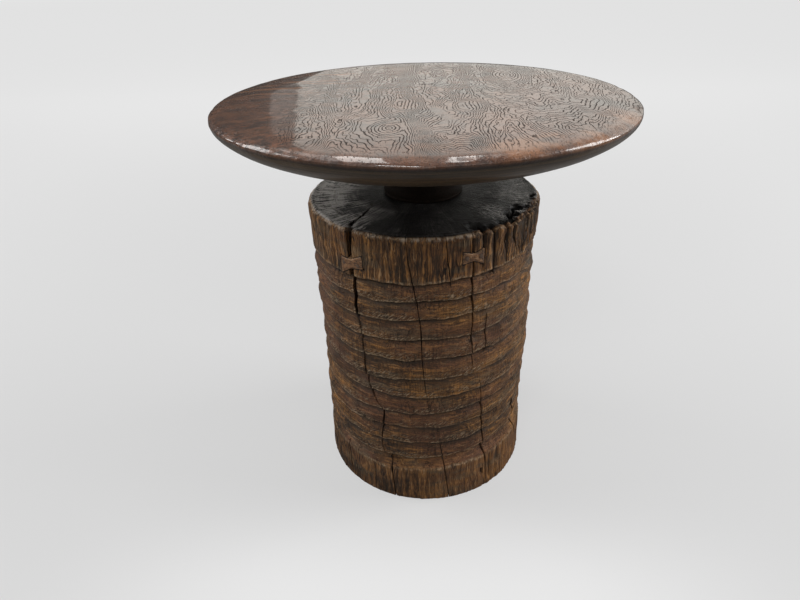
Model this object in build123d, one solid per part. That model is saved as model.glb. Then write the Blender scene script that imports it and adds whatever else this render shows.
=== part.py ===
from build123d import *

# African drum side table, in millimetres.
#
# A thick turned top and a short turned neck stand on one solid log.  The log is carved all
# round with overlapping bands between two plain collars.  Drying splits run down it, and two
# pegged butterfly keys hold the widest ones shut.  A hidden dowel joins top, neck and log.
#
# Frame: +Z up, origin at the centre of the base on the floor, show side facing -Y.
# An azimuth is the angle in degrees round the log from the show side towards +X.

import os
from dataclasses import dataclass
from math import cos, radians, sin

# ---- build-up above the log ----
NECK_H = 48.0            # end grain to the land under the top
TOP_T = 88.0             # land to the flat centre of the top

# ---- table top ----
TOP_D = 556.0            # across the widest line of the rim
RIM_DROP = 11.5          # widest line below the flat centre
CROWN_DROP = 6.0         # crown's edge below the flat centre
CROWN_INSET = 6.0        # crown's edge in from the widest line
FLAT_D = 390.0           # flat centre
LAND_D = 126.0           # flat land under the top, seated on the neck

# ---- neck ----
NECK_FOOT_D = 113.0      # on the log
NECK_FOOT_T = 5.0        # straight edge of the foot
NECK_WAIST_D = 90.0
NECK_HEAD_D = 118.0      # under the top
NECK_HEAD_T = 6.0        # straight edge of the head

# ---- hidden dowel ----
DOWEL_D = 38.0
DOWEL_IN_TOP = 46.0
DOWEL_IN_LOG = 72.0
DOWEL_CHAMFER = 2.0
GLUE_GAP = 0.15          # round the dowel, the keys and the pegs
DOWEL_END_GAP = 3.0      # mortise deeper than the dowel, for the glue

# ---- log: collars ----
BASE_H = 70.0            # plain base collar
BASE_D = 335.0           # at the floor
BASE_TOP_D = 331.0       # at its upper edge
BASE_EDGE_R = 3.0        # worn edge at the floor
COVE_H = 22.0            # hollow between base collar and lowest band
COVE_SAG = 2.5           # hollow's depth below a straight slope
COLLAR_H = 64.0          # plain top collar
COLLAR_TOP_D = 333.0     # top collar under the worn shoulder
COLLAR_LIP_D = 330.0     # top collar at its lower lip
SHOULDER_R = 7.5         # worn edge of the end grain

# ---- log: carved bands ----
BAND_HEIGHTS = [28.0, 28.5, 32.0, 33.0, 35.0, 31.0, 31.0, 29.5, 31.0, 29.0]  # top to bottom
BAND_CREST_D = 328.5     # fullest line of a band
BAND_LIP_IN = 1.2        # lower lip in from the crest
BAND_GROOVE_IN = 6.5     # groove under a lip in from the crest
BAND_CREST_AT = 0.58     # crest's place down the band

# ---- butterfly keys and their pegs ----
KEY_DEPTH = 15.0         # into the log
KEY_PROUD = 0.8          # out of the collar
PEG_D = 5.6
PEG_BITE = 4.5           # peg's end below the key, short of the leaning split
PEG_PROUD = 0.7          # out of the key
PEG_OUT = 0.33           # peg's place along a wing, as a share of the key's length

# ---- splits and rot ----
CUT_OUT = 6.0            # cutters start this far outside the log
CLOSED_END = 0.25        # share of the mouth left where a split runs out


@dataclass
class Split:
    """A drying split: its line from (azimuth, share of the log's height) points, top first."""

    line: list
    mouth: float         # width at the log's surface
    depth: float         # at the line's first point
    end_depth: float     # at its last point
    lean: float = 0.0    # turn of the split's root against its mouth, in degrees


@dataclass
class Key:
    """A butterfly key across a split: its place and its outline."""

    name: str
    split: Split
    drop: float          # its middle below the end grain
    length: float        # across the split
    wings: tuple         # heights of its -X and +X ends
    waist: float         # height of its middle
    rise: float          # its +X end stands this much above its -X end


@dataclass
class Rot:
    """A rotted hollow in the rim of the end grain: a ball-shaped bite."""

    azimuth: float
    inset: float         # its middle in from the collar's wall
    radius: float
    rise: float          # its middle above the end grain


TOP, FLOOR = 1.0, 0.0    # a split that reaches these shares of the height runs out of the end

# the two splits that keys hold: the left one runs deep into the end grain
LEFT_SPLIT = Split(
    [(-34.8, TOP), (-35.4, 0.935), (-34.8, 0.877), (-34.2, 0.806), (-33.5, 0.739), (-31.7, 0.653)],
    mouth=6.5, depth=88.0, end_depth=30.0, lean=-13.0,
)
RIGHT_SPLIT = Split(
    [(21.4, TOP), (22.9, 0.888), (22.3, 0.847), (22.8, 0.791), (23.8, 0.737), (23.4, 0.651),
     (24.8, 0.534)],
    mouth=3.6, depth=42.0, end_depth=14.0,
)
KEYS = [
    Key("left", LEFT_SPLIT, drop=47.5, length=35.0, wings=(22.0, 19.0), waist=13.0, rise=10.0),
    Key("right", RIGHT_SPLIT, drop=33.5, length=29.5, wings=(17.5, 22.0), waist=10.0, rise=-2.0),
]

SPLITS = [
    LEFT_SPLIT,
    RIGHT_SPLIT,
    # the left one again, below a sound bridge, and on in the base collar
    Split([(-31.3, 0.631), (-30.6, 0.519), (-28.4, 0.453), (-22.5, 0.397), (-21.3, 0.371),
           (-23.9, 0.261), (-22.6, 0.194)], mouth=3.6, depth=34.0, end_depth=14.0),
    Split([(-18.9, 0.185), (-17.8, 0.095), (-16.4, FLOOR)], mouth=3.2, depth=16.0, end_depth=22.0),
    # middle
    Split([(-7.7, TOP), (-6.7, 0.929), (-4.7, 0.860), (-2.7, 0.774), (-1.4, 0.705), (-1.0, 0.599),
           (-0.1, 0.524), (1.3, 0.463), (2.3, 0.401)], mouth=2.2, depth=24.0, end_depth=8.0),
    Split([(9.5, TOP), (10.6, 0.927), (12.2, 0.858)], mouth=1.6, depth=14.0, end_depth=6.0),
    # the right one again, a step towards +X
    Split([(28.8, 0.487), (30.2, 0.442), (31.8, 0.356), (33.3, 0.220), (36.0, 0.110),
           (36.5, FLOOR)], mouth=4.2, depth=16.0, end_depth=30.0),
    Split([(32.0, 0.711), (31.0, 0.655), (31.6, 0.601)], mouth=2.4, depth=7.0, end_depth=5.0),
    # base collar
    Split([(-49.3, 0.155), (-48.4, 0.086), (-47.0, FLOOR)], mouth=2.2, depth=9.0, end_depth=16.0),
    Split([(7.7, 0.274), (10.4, 0.168), (13.4, FLOOR)], mouth=2.2, depth=9.0, end_depth=20.0),
    Split([(60.0, 0.276), (62.0, 0.198), (66.0, 0.116)], mouth=3.6, depth=12.0, end_depth=9.0),
    # flutes down from the rotted rim
    Split([(27.0, TOP), (27.6, 0.966)], mouth=4.5, depth=18.0, end_depth=6.0),
    Split([(33.0, TOP), (34.0, 0.940), (35.5, 0.866)], mouth=5.5, depth=24.0, end_depth=7.0),
    Split([(41.0, TOP), (42.0, 0.957), (43.0, 0.914)], mouth=5.0, depth=22.0, end_depth=6.0),
    # away from the show side
    Split([(112.0, TOP), (113.5, 0.862), (111.0, 0.690), (112.5, 0.539), (115.0, 0.442)],
          mouth=3.4, depth=40.0, end_depth=12.0),
    Split([(171.0, TOP), (168.5, 0.884), (170.0, 0.754), (173.0, 0.625)],
          mouth=2.6, depth=26.0, end_depth=10.0),
    Split([(152.0, 0.323), (154.0, 0.194), (153.0, FLOOR)], mouth=3.0, depth=12.0, end_depth=26.0),
    Split([(-118.0, TOP), (-117.0, 0.905), (-119.5, 0.776)], mouth=2.8, depth=30.0, end_depth=10.0),
    Split([(-98.0, 0.409), (-96.0, 0.237), (-97.5, 0.103), (-97.0, FLOOR)],
          mouth=3.2, depth=12.0, end_depth=28.0),
]

ROT = [
    Rot(27.5, inset=20.0, radius=14.0, rise=4.0),
    Rot(34.0, inset=9.0, radius=9.0, rise=3.0),
    Rot(42.0, inset=9.0, radius=10.0, rise=3.0),
    Rot(51.0, inset=21.0, radius=15.0, rise=3.0),
    Rot(58.5, inset=30.0, radius=14.0, rise=4.0),
    Rot(66.0, inset=7.0, radius=8.0, rise=0.0),
    Rot(73.0, inset=6.0, radius=7.0, rise=-1.0),
]

# ---- derived sizes ----
BANDS_TOP_Z = BASE_H + COVE_H + sum(BAND_HEIGHTS)
LOG_H = BANDS_TOP_Z + COLLAR_H
NECK_TOP_Z = LOG_H + NECK_H
TABLE_H = NECK_TOP_Z + TOP_T
TOP_R = TOP_D / 2
LAND_R = LAND_D / 2
DOWEL_R = DOWEL_D / 2
BAND_CREST_R = BAND_CREST_D / 2
BAND_LIP_R = BAND_CREST_R - BAND_LIP_IN
GROOVE_R = BAND_CREST_R - BAND_GROOVE_IN
COLLAR_R = COLLAR_TOP_D / 2
CUTTER_R = max(BASE_D / 2, COLLAR_R, BAND_CREST_R) + CUT_OUT


def around(azimuth, radius, height):
    """The point at an azimuth, a distance from the axis and a height."""
    a = radians(azimuth)
    return Vector(radius * sin(a), -radius * cos(a), height)


def turned(outline):
    """The solid that a closed outline in the XZ plane makes when it is turned about Z."""
    return revolve(make_face(outline), Axis.Z)


def wall_radius(height):
    """The log's radius at a height of the top collar, on its straight taper."""
    share = (height - BANDS_TOP_Z) / COLLAR_H
    return (COLLAR_LIP_D + (COLLAR_TOP_D - COLLAR_LIP_D) * share) / 2


def dowel_hole(z_low, z_high):
    """The glued hole for the dowel between two heights."""
    return Pos(0, 0, z_low) * Cylinder(
        DOWEL_R + GLUE_GAP, z_high - z_low, align=(Align.CENTER, Align.CENTER, Align.MIN)
    )


def table_top():
    """The turned top: flat centre, gentle crown, soft rim and a bowl-shaped underside."""
    rim_z = TABLE_H - RIM_DROP
    crown_r = TOP_R - CROWN_INSET
    crown_z = TABLE_H - CROWN_DROP
    bowl_depth = rim_z - NECK_TOP_Z
    with BuildLine(Plane.XZ) as outline:
        Polyline((0, NECK_TOP_Z), (0, TABLE_H), (FLAT_D / 2, TABLE_H))
        TangentArc((FLAT_D / 2, TABLE_H), (crown_r, crown_z), tangent=(1, 0))
        TangentArc((TOP_R, rim_z), (crown_r, crown_z), tangent=(0, 1))
        Bezier((TOP_R, rim_z), (TOP_R, rim_z - bowl_depth / 2), (LAND_R, NECK_TOP_Z))
        Line((LAND_R, NECK_TOP_Z), (0, NECK_TOP_Z))
    mortise = dowel_hole(NECK_TOP_Z, NECK_TOP_Z + DOWEL_IN_TOP + DOWEL_END_GAP)
    return turned(outline.line) - mortise


def neck():
    """The turned neck: a spool with a straight foot and head, bored for the dowel."""
    foot_r = NECK_FOOT_D / 2
    head_r = NECK_HEAD_D / 2
    foot_z = LOG_H + NECK_FOOT_T
    head_z = NECK_TOP_Z - NECK_HEAD_T
    waist = (NECK_WAIST_D / 2, (foot_z + head_z) / 2)
    with BuildLine(Plane.XZ) as outline:
        Polyline((0, NECK_TOP_Z), (0, LOG_H), (foot_r, LOG_H), (foot_r, foot_z))
        ThreePointArc((foot_r, foot_z), waist, (head_r, head_z))
        Polyline((head_r, head_z), (head_r, NECK_TOP_Z), (0, NECK_TOP_Z))
    return turned(outline.line) - dowel_hole(LOG_H, NECK_TOP_Z)


def centre_dowel():
    """The loose round tenon through the neck."""
    length = DOWEL_IN_LOG + NECK_H + DOWEL_IN_TOP
    pin = Cylinder(DOWEL_R, length, align=(Align.CENTER, Align.CENTER, Align.MIN))
    ends = pin.edges().filter_by(GeomType.CIRCLE)
    return Pos(0, 0, LOG_H - DOWEL_IN_LOG) * chamfer(ends, DOWEL_CHAMFER)


def log_blank():
    """The carved log before its splits: base collar, cove, bands, top collar and shoulder."""
    base_r = BASE_D / 2
    base_top = (BASE_TOP_D / 2, BASE_H)
    cove_top = (GROOVE_R, BASE_H + COVE_H)
    cove_mid = ((base_top[0] + GROOVE_R) / 2 - COVE_SAG, BASE_H + COVE_H / 2)
    with BuildLine(Plane.XZ) as outline:
        Polyline((0, LOG_H), (0, 0), (base_r - BASE_EDGE_R, 0))
        Polyline((base_r - BASE_EDGE_R, 0), (base_r, BASE_EDGE_R), base_top)
        ThreePointArc(base_top, cove_mid, cove_top)
        z_low = BASE_H + COVE_H
        for height in reversed(BAND_HEIGHTS):
            z_high = z_low + height
            crest = (BAND_CREST_R, z_high - height * BAND_CREST_AT)
            Line((GROOVE_R, z_low), (BAND_LIP_R, z_low))
            ThreePointArc((BAND_LIP_R, z_low), crest, (GROOVE_R, z_high))
            z_low = z_high
        lip_r = COLLAR_LIP_D / 2
        shoulder = (COLLAR_R, LOG_H - SHOULDER_R)
        Polyline((GROOVE_R, z_low), (lip_r, z_low), shoulder)
        TangentArc(shoulder, (COLLAR_R - SHOULDER_R, LOG_H), tangent=(0, 1))
        Line((COLLAR_R - SHOULDER_R, LOG_H), (0, LOG_H))
    return turned(outline.line)


def split_cutter(split):
    """A V-shaped cutter along a split: open at the log's ends, tapered where it runs out."""
    sections = []
    last = len(split.line) - 1
    for i, (azimuth, share) in enumerate(split.line):
        depth = split.depth + (split.end_depth - split.depth) * i / last
        lean = split.lean * (1 - i / last)
        overrun = {TOP: CUT_OUT, FLOOR: -CUT_OUT}.get(share, 0.0)
        height = share * LOG_H + overrun
        taper = CLOSED_END if i in (0, last) and not overrun else 1.0
        half = split.mouth * taper * (depth + CUT_OUT) / depth / 2
        out = around(azimuth, CUTTER_R, height)
        side = Vector(cos(radians(azimuth)), sin(radians(azimuth)), 0) * half
        root = around(azimuth + lean, CUTTER_R - CUT_OUT - depth, height)
        sections.append(make_face(Polyline(out - side, out + side, root, close=True)))
    return loft(sections, ruled=True)


def rot_cutter(rot):
    """The ball that bites a rotted hollow out of the rim."""
    centre = around(rot.azimuth, COLLAR_R - rot.inset, LOG_H + rot.rise)
    return Pos(centre) * Sphere(rot.radius)


def azimuth_at(split, height):
    """A split's azimuth at a height of the log."""
    share = height / LOG_H
    for (high_a, high), (low_a, low) in zip(split.line, split.line[1:]):
        if low <= share:
            break
    return high_a + (low_a - high_a) * (high - share) / (high - low)


def key_plane(key):
    """The plane on the log's wall under a key, its x axis along the key, its z axis outwards."""
    height = LOG_H - key.drop
    azimuth = azimuth_at(key.split, height)
    a = radians(azimuth)
    tangent = Vector(cos(a), sin(a), 0)
    outwards = Vector(sin(a), -cos(a), 0)
    return Plane(around(azimuth, wall_radius(height), height), tangent, outwards)


def key_prism(key, gap, reach):
    """A key's outline, grown by a gap, from its floor in the log out to a reach."""
    x = key.length / 2 + gap
    left, right = (wing / 2 + gap for wing in key.wings)
    waist = key.waist / 2 + gap
    lift = key.rise / 2
    corners = [(-x, left - lift), (0, waist), (x, right + lift)]
    corners += [(x, lift - right), (0, -waist), (-x, -left - lift)]
    face = make_face(Polyline(*corners, close=True))
    return key_plane(key) * Pos(0, 0, -KEY_DEPTH) * extrude(face, KEY_DEPTH + reach)


def peg_places(key):
    """A peg's plane in each wing of a key."""
    return [key_plane(key) * Pos(side * PEG_OUT * key.length, 0, 0) for side in (-1, 1)]


def peg(place, gap):
    """A peg, grown by a gap, through a key and on into the log."""
    reach = PEG_PROUD + KEY_PROUD
    length = reach + KEY_DEPTH + PEG_BITE
    pin = Cylinder(PEG_D / 2 + gap, length, align=(Align.CENTER, Align.CENTER, Align.MAX))
    return place * Pos(0, 0, reach) * pin


def butterfly_key(key):
    """A key with its face worn to the log's curve, bored for its pegs."""
    face_r = wall_radius(LOG_H - key.drop) + KEY_PROUD
    barrel = Cylinder(face_r, LOG_H, align=(Align.CENTER, Align.CENTER, Align.MIN))
    body = key_prism(key, 0, CUT_OUT) & barrel
    for place in peg_places(key):
        body -= peg(place, GLUE_GAP)
    return body


def drum_log():
    """The log with its mortise, key pockets, peg holes, splits and rotted rim."""
    log = log_blank()
    log -= dowel_hole(LOG_H - DOWEL_IN_LOG - DOWEL_END_GAP, LOG_H)
    log -= [split_cutter(split) for split in SPLITS]
    log -= [rot_cutter(rot) for rot in ROT]
    for key in KEYS:
        log -= key_prism(key, GLUE_GAP, CUT_OUT)
        log -= [peg(place, GLUE_GAP) for place in peg_places(key)]
    return log


nodes = {
    "table_top": table_top(),
    "neck": neck(),
    "centre_dowel": centre_dowel(),
    "drum_log": drum_log(),
}
for key in KEYS:
    nodes[f"butterfly_key_{key.name}"] = butterfly_key(key)
    for side, place in zip(("a", "b"), peg_places(key)):
        nodes[f"key_peg_{key.name}_{side}"] = peg(place, 0)

os.makedirs("parts", exist_ok=True)
for name, solid in nodes.items():
    export_step(solid, f"parts/{name}.step")
    print(name, round(solid.volume / 1000, 1), "cm3")
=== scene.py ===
"""Dresses the drum table: the swirled top, the dark neck and the banded log with its pegged keys.

Meshes are laid out in millimetres and written in metres; finishes and the studio are in metres.
An azimuth is the angle in degrees round the table's axis from the show side, which faces -Y,
towards +X.  A place down the log is its distance below the end grain; a negative one runs in over
the end grain from the rim.
"""

import logging
from dataclasses import dataclass, field
from enum import Enum
from math import cos, pi, radians, sin
from typing import Any, Sequence

import bmesh
import bpy
import numpy as np
from mathutils import Matrix, Vector


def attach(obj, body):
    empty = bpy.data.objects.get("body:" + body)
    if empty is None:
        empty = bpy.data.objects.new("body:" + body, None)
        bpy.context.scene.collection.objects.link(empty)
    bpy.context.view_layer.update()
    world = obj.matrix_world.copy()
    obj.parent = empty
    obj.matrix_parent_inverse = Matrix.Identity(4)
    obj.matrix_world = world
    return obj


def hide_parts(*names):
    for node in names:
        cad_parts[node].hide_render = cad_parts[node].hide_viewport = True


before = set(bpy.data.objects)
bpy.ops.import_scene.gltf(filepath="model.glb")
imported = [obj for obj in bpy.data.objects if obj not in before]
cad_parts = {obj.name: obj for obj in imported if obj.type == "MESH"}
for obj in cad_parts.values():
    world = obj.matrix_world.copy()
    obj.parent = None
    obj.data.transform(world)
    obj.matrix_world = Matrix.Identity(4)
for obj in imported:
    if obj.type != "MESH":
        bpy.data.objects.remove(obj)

log = logging.getLogger("drum_table")

MM = 0.001
BODY = "root"
Array = np.ndarray
Pair = tuple[float, float]
Place = tuple[float, float, float]
Colour = tuple[float, float, float]
WHITE: Colour = (1.0, 1.0, 1.0)


@dataclass(frozen=True)
class KeySize:
    """A bow-tie key's place and size on the log's wall."""

    side: str
    azimuth: float
    height: float
    length: float
    wings: Pair  # heights of its -X and +X ends
    waist: float
    rise: float  # its +X end stands this much above its -X end


KEYS = (
    KeySize("left", -34.6, 414.5, 35.5, (25.0, 19.5), 13.0, 11.0),
    KeySize("right", 22.4, 430.5, 29.5, (17.5, 22.0), 10.0, -2.0),
)


# ---- Shader kit ----


class Wire:
    """One shader socket, so that node maths reads as Python maths."""

    def __init__(self, shader: "Shader", socket: Any) -> None:
        """Keeps the socket and the shader it belongs to."""
        self.shader = shader
        self.socket = socket

    def __add__(self, other: Any) -> "Wire":
        """Adds."""
        return self.shader.math("ADD", self, other)

    def __radd__(self, other: Any) -> "Wire":
        """Adds, reflected."""
        return self.shader.math("ADD", other, self)

    def __sub__(self, other: Any) -> "Wire":
        """Subtracts."""
        return self.shader.math("SUBTRACT", self, other)

    def __rsub__(self, other: Any) -> "Wire":
        """Subtracts, reflected."""
        return self.shader.math("SUBTRACT", other, self)

    def __mul__(self, other: Any) -> "Wire":
        """Multiplies."""
        return self.shader.math("MULTIPLY", self, other)

    def __rmul__(self, other: Any) -> "Wire":
        """Multiplies, reflected."""
        return self.shader.math("MULTIPLY", other, self)

    def __truediv__(self, other: Any) -> "Wire":
        """Divides."""
        return self.shader.math("DIVIDE", self, other)

    def __rtruediv__(self, other: Any) -> "Wire":
        """Divides, reflected."""
        return self.shader.math("DIVIDE", other, self)

    def __abs__(self) -> "Wire":
        """Drops the sign."""
        return self.shader.math("ABSOLUTE", self)

    def fract(self) -> "Wire":
        """The part after the point."""
        return self.shader.math("FRACT", self)

    def step(self, low: float, high: float) -> "Wire":
        """A smooth step.

        Args:
            low: The value that gives 0.
            high: The value that gives 1; it may be below low.

        Returns:
            0 to 1, eased at both ends.
        """
        settings = {"interpolation_type": "SMOOTHSTEP"}
        if low < high:
            return self.shader.node("ShaderNodeMapRange", settings, {0: self, 1: low, 2: high})
        return 1 - self.shader.node("ShaderNodeMapRange", settings, {0: self, 1: high, 2: low})


@dataclass(frozen=True)
class Grain:
    """A recipe for noise over a piece."""

    scale: float  # lumps per metre
    detail: float = 2.0  # octaves
    rough: float = 0.5  # each octave's strength against the last
    drawn: Place | None = None  # scale on each axis; a small one draws the lumps out along it
    drift: Pair | None = None  # how its place is moved about: lumps per metre, and how far
    cut: Pair | None = None  # the noise that counts as 0 and as 1


@dataclass(frozen=True)
class Region:
    """A soft-edged part of a piece: the spans over which each length brings it in."""

    x: Pair | None = None
    y: Pair | None = None
    z: Pair | None = None
    width: Pair | None = None  # distance from the middle, either way along X
    radius: Pair | None = None


class CellFeature(Enum):
    """What cell noise measures its distance to."""

    DOT = "F1"
    EDGE = "DISTANCE_TO_EDGE"


class Seen(Enum):
    """Which rays a surface is shown to in its own way."""

    CAMERA = "Is Camera Ray"
    GLOSSY = "Is Glossy Ray"


class Shader:
    """A material's node tree, and the calls that add nodes to it."""

    def __init__(self, owner: Any) -> None:
        """Clears the node tree of a material or a world.

        Args:
            owner: The material or world.
        """
        owner.use_nodes = True
        self.owner = owner
        self.tree = owner.node_tree
        self.tree.nodes.clear()

    def node(self, kind: str, settings: dict[str, Any], inputs: dict[Any, Any], out: Any = 0) -> Wire:
        """Adds any node.

        Args:
            kind: The node's type.
            settings: Its own settings, set before its sockets; "stops" fills a colour ramp.
            inputs: A value or a Wire for each socket, by name or number.
            out: The output wanted, by name or number.

        Returns:
            That output.
        """
        made = self.tree.nodes.new(kind)
        for name, value in settings.items():
            if name == "stops":
                self._fill_ramp(made.color_ramp, value)
            else:
                setattr(made, name, value)
        for key, value in inputs.items():
            if isinstance(value, Wire):
                self.tree.links.new(value.socket, made.inputs[key])
            else:
                made.inputs[key].default_value = value
        return Wire(self, made.outputs[out] if len(made.outputs) else None)

    @staticmethod
    def _fill_ramp(ramp: Any, stops: Sequence[tuple[float, Colour]]) -> None:
        """Sets a ramp's stops from (place, colour) pairs.

        Args:
            ramp: The ramp.
            stops: The pairs, in order.
        """
        while len(ramp.elements) > 1:
            ramp.elements.remove(ramp.elements[-1])
        for index, (place, colour) in enumerate(stops):
            element = ramp.elements[0] if index == 0 else ramp.elements.new(place)
            element.position = place
            element.color = (*colour, 1.0)

    def math(self, operation: str, *values: Any) -> Wire:
        """Adds a Math node on one to three values."""
        return self.node("ShaderNodeMath", {"operation": operation}, dict(enumerate(values)))

    def vector(self, operation: str, *values: Any) -> Wire:
        """Adds a Vector Math node on vectors."""
        return self.node("ShaderNodeVectorMath", {"operation": operation}, dict(enumerate(values)))

    def mix(self, share: Any, first: Wire, second: Colour | Wire) -> Wire:
        """Mixes two colours.

        Args:
            share: The second colour's share.
            first: The first.
            second: The second.

        Returns:
            The mixed colour.
        """
        over = second if isinstance(second, Wire) else (*second, 1.0)
        settings = {"data_type": "RGBA", "clamp_factor": True}
        return self.node("ShaderNodeMix", settings, {0: share, 6: first, 7: over}, 2)

    def ramp(self, value: Wire, *stops: tuple[float, Colour]) -> Wire:
        """A colour ramp over (place, colour) stops."""
        return self.node("ShaderNodeValToRGB", {"stops": stops}, {0: value})

    def point(self) -> Wire:
        """The place on the piece, in metres."""
        return self.node("ShaderNodeTexCoord", {}, {}, "Object")

    def axes(self, vector: Wire) -> tuple[Wire, Wire, Wire]:
        """A vector's X, Y and Z.

        Args:
            vector: The vector.

        Returns:
            Its three values.
        """
        split = self.node("ShaderNodeSeparateXYZ", {}, {0: vector}).socket.node
        x, y, z = (Wire(self, s) for s in split.outputs)
        return x, y, z

    def vec(self, x: Any, y: Any, z: Any) -> Wire:
        """A vector from three values."""
        return self.node("ShaderNodeCombineXYZ", {}, {0: x, 1: y, 2: z})

    def larger(self, first: Any, second: Any) -> Wire:
        """The larger of two values."""
        return self.math("MAXIMUM", first, second)

    def far(self, x: Wire, y: Wire) -> Wire:
        """How far two lengths at right angles reach together."""
        return self.math("SQRT", x * x + y * y)

    def stretch(self, vector: Wire, drawn: Place) -> Wire:
        """A vector with each axis scaled."""
        return self.vector("MULTIPLY", vector, drawn)

    def noise(self, at: Wire, scale: float, detail: float = 2.0, rough: float = 0.5) -> Wire:
        """Smooth noise from 0 to 1.

        Args:
            at: The place.
            scale: Lumps per unit of place.
            detail: Octaves.
            rough: Each octave's strength against the last.

        Returns:
            The noise's value.
        """
        inputs = {"Vector": at, "Scale": scale, "Detail": detail, "Roughness": rough}
        return self.node("ShaderNodeTexNoise", {}, inputs)

    def drift(self, at: Wire, scale: float, reach: float, detail: float = 2.0) -> Wire:
        """A place moved about by noise.

        Args:
            at: The place.
            scale: Lumps per unit of place.
            reach: The most that a place moves, about.
            detail: Octaves.

        Returns:
            The moved place.
        """
        inputs = {"Vector": at, "Scale": scale, "Detail": detail}
        cloud = self.node("ShaderNodeTexNoise", {}, inputs, "Color")
        offset = self.vector("SUBTRACT", cloud, (0.5, 0.5, 0.5))
        return self.vector("ADD", at, self.stretch(offset, (2 * reach,) * 3))

    def grain(self, at: Wire, grain: Grain) -> Wire:
        """Noise by its recipe, from 0 to 1.

        Args:
            at: The place.
            grain: The recipe.

        Returns:
            The noise's value.
        """
        if grain.drift:
            at = self.drift(at, *grain.drift)
        if grain.drawn:
            at = self.stretch(at, grain.drawn)
        value = self.noise(at, grain.scale, grain.detail, grain.rough)
        return value.step(*grain.cut) if grain.cut else value

    def within(self, at: Wire, region: Region) -> Wire:
        """How far a place is inside a region, from 0 to 1.

        Args:
            at: The place.
            region: The region; each span that it gives is applied.

        Returns:
            The product of its spans' masks.
        """
        x, y, z = self.axes(at)
        lengths = {"x": x, "y": y, "z": z, "width": abs(x), "radius": self.far(x, y)}
        spans = {name: span for name in lengths if (span := getattr(region, name))}
        masks = [lengths[name].step(*span) for name, span in spans.items()]
        total = masks[0]
        for mask in masks[1:]:
            total = total * mask
        return total

    def cells(self, at: Wire, scale: float, feature: CellFeature = CellFeature.DOT) -> Wire:
        """Cell noise: the distance to the nearest dot, or to the nearest edge between cells."""
        settings = {"feature": feature.value}
        return self.node("ShaderNodeTexVoronoi", settings, {"Vector": at, "Scale": scale}, "Distance")

    def attribute(self, name: str) -> Wire:
        """A value kept on the mesh."""
        return self.node("ShaderNodeAttribute", {"attribute_name": name}, {}, "Fac")

    def bump(self, height: Wire, depth: float, under: Wire | None = None) -> Wire:
        """A normal from a height of 0 to 1.

        Args:
            height: The height.
            depth: What a height of 1 stands for, in metres.
            under: A normal to add to.

        Returns:
            The normal.
        """
        inputs: dict[Any, Any] = {"Height": height, "Distance": depth, "Strength": 1.0}
        if under is not None:
            inputs["Normal"] = under
        return self.node("ShaderNodeBump", {}, inputs)

    def surface(self, **sockets: Any) -> Any:
        """Ends the tree in a Principled shader.

        Args:
            sockets: Values or Wires by socket name, with _ for a space.

        Returns:
            The material.
        """
        inputs = {name.replace("_", " "): value for name, value in sockets.items()}
        return self.end(self.node("ShaderNodeBsdfPrincipled", {}, inputs))

    def ray(self, seen: Seen) -> Wire:
        """1 to the rays named, 0 to the others."""
        return self.node("ShaderNodeLightPath", {}, {}, seen.value)

    def light(self, colour: Colour, strength: Any) -> Wire:
        """A surface that gives light."""
        return self.node("ShaderNodeEmission", {}, {0: (*colour, 1.0), 1: strength})

    def blend(self, share: Wire, first: Wire, second: Wire) -> Wire:
        """Two shaders, mixed by the second one's share."""
        return self.node("ShaderNodeMixShader", {}, {0: share, 1: first, 2: second})

    def end(self, shown: Wire, kind: str = "ShaderNodeOutputMaterial") -> Any:
        """Ends the tree in its output and gives back the material or world."""
        self.node(kind, {}, {"Surface": shown})
        return self.owner


def new_shader(name: str) -> Shader:
    """A shader for a new material of that name."""
    return Shader(bpy.data.materials.new(name))


# ---- Finishes ----


@dataclass(frozen=True)
class Eye:
    """A closed swirl in the figure: its middle, its rings and how long it is drawn out."""

    x: float
    y: float
    rings: float  # positive stands up from the field, negative sinks into it
    drawn: float = 2.0
    steep: float = 250.0  # rings per metre across it


@dataclass(frozen=True)
class Flow:
    """A layer of noise that bends the rings."""

    grain: Grain
    rings: float  # rings over one lump


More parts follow.
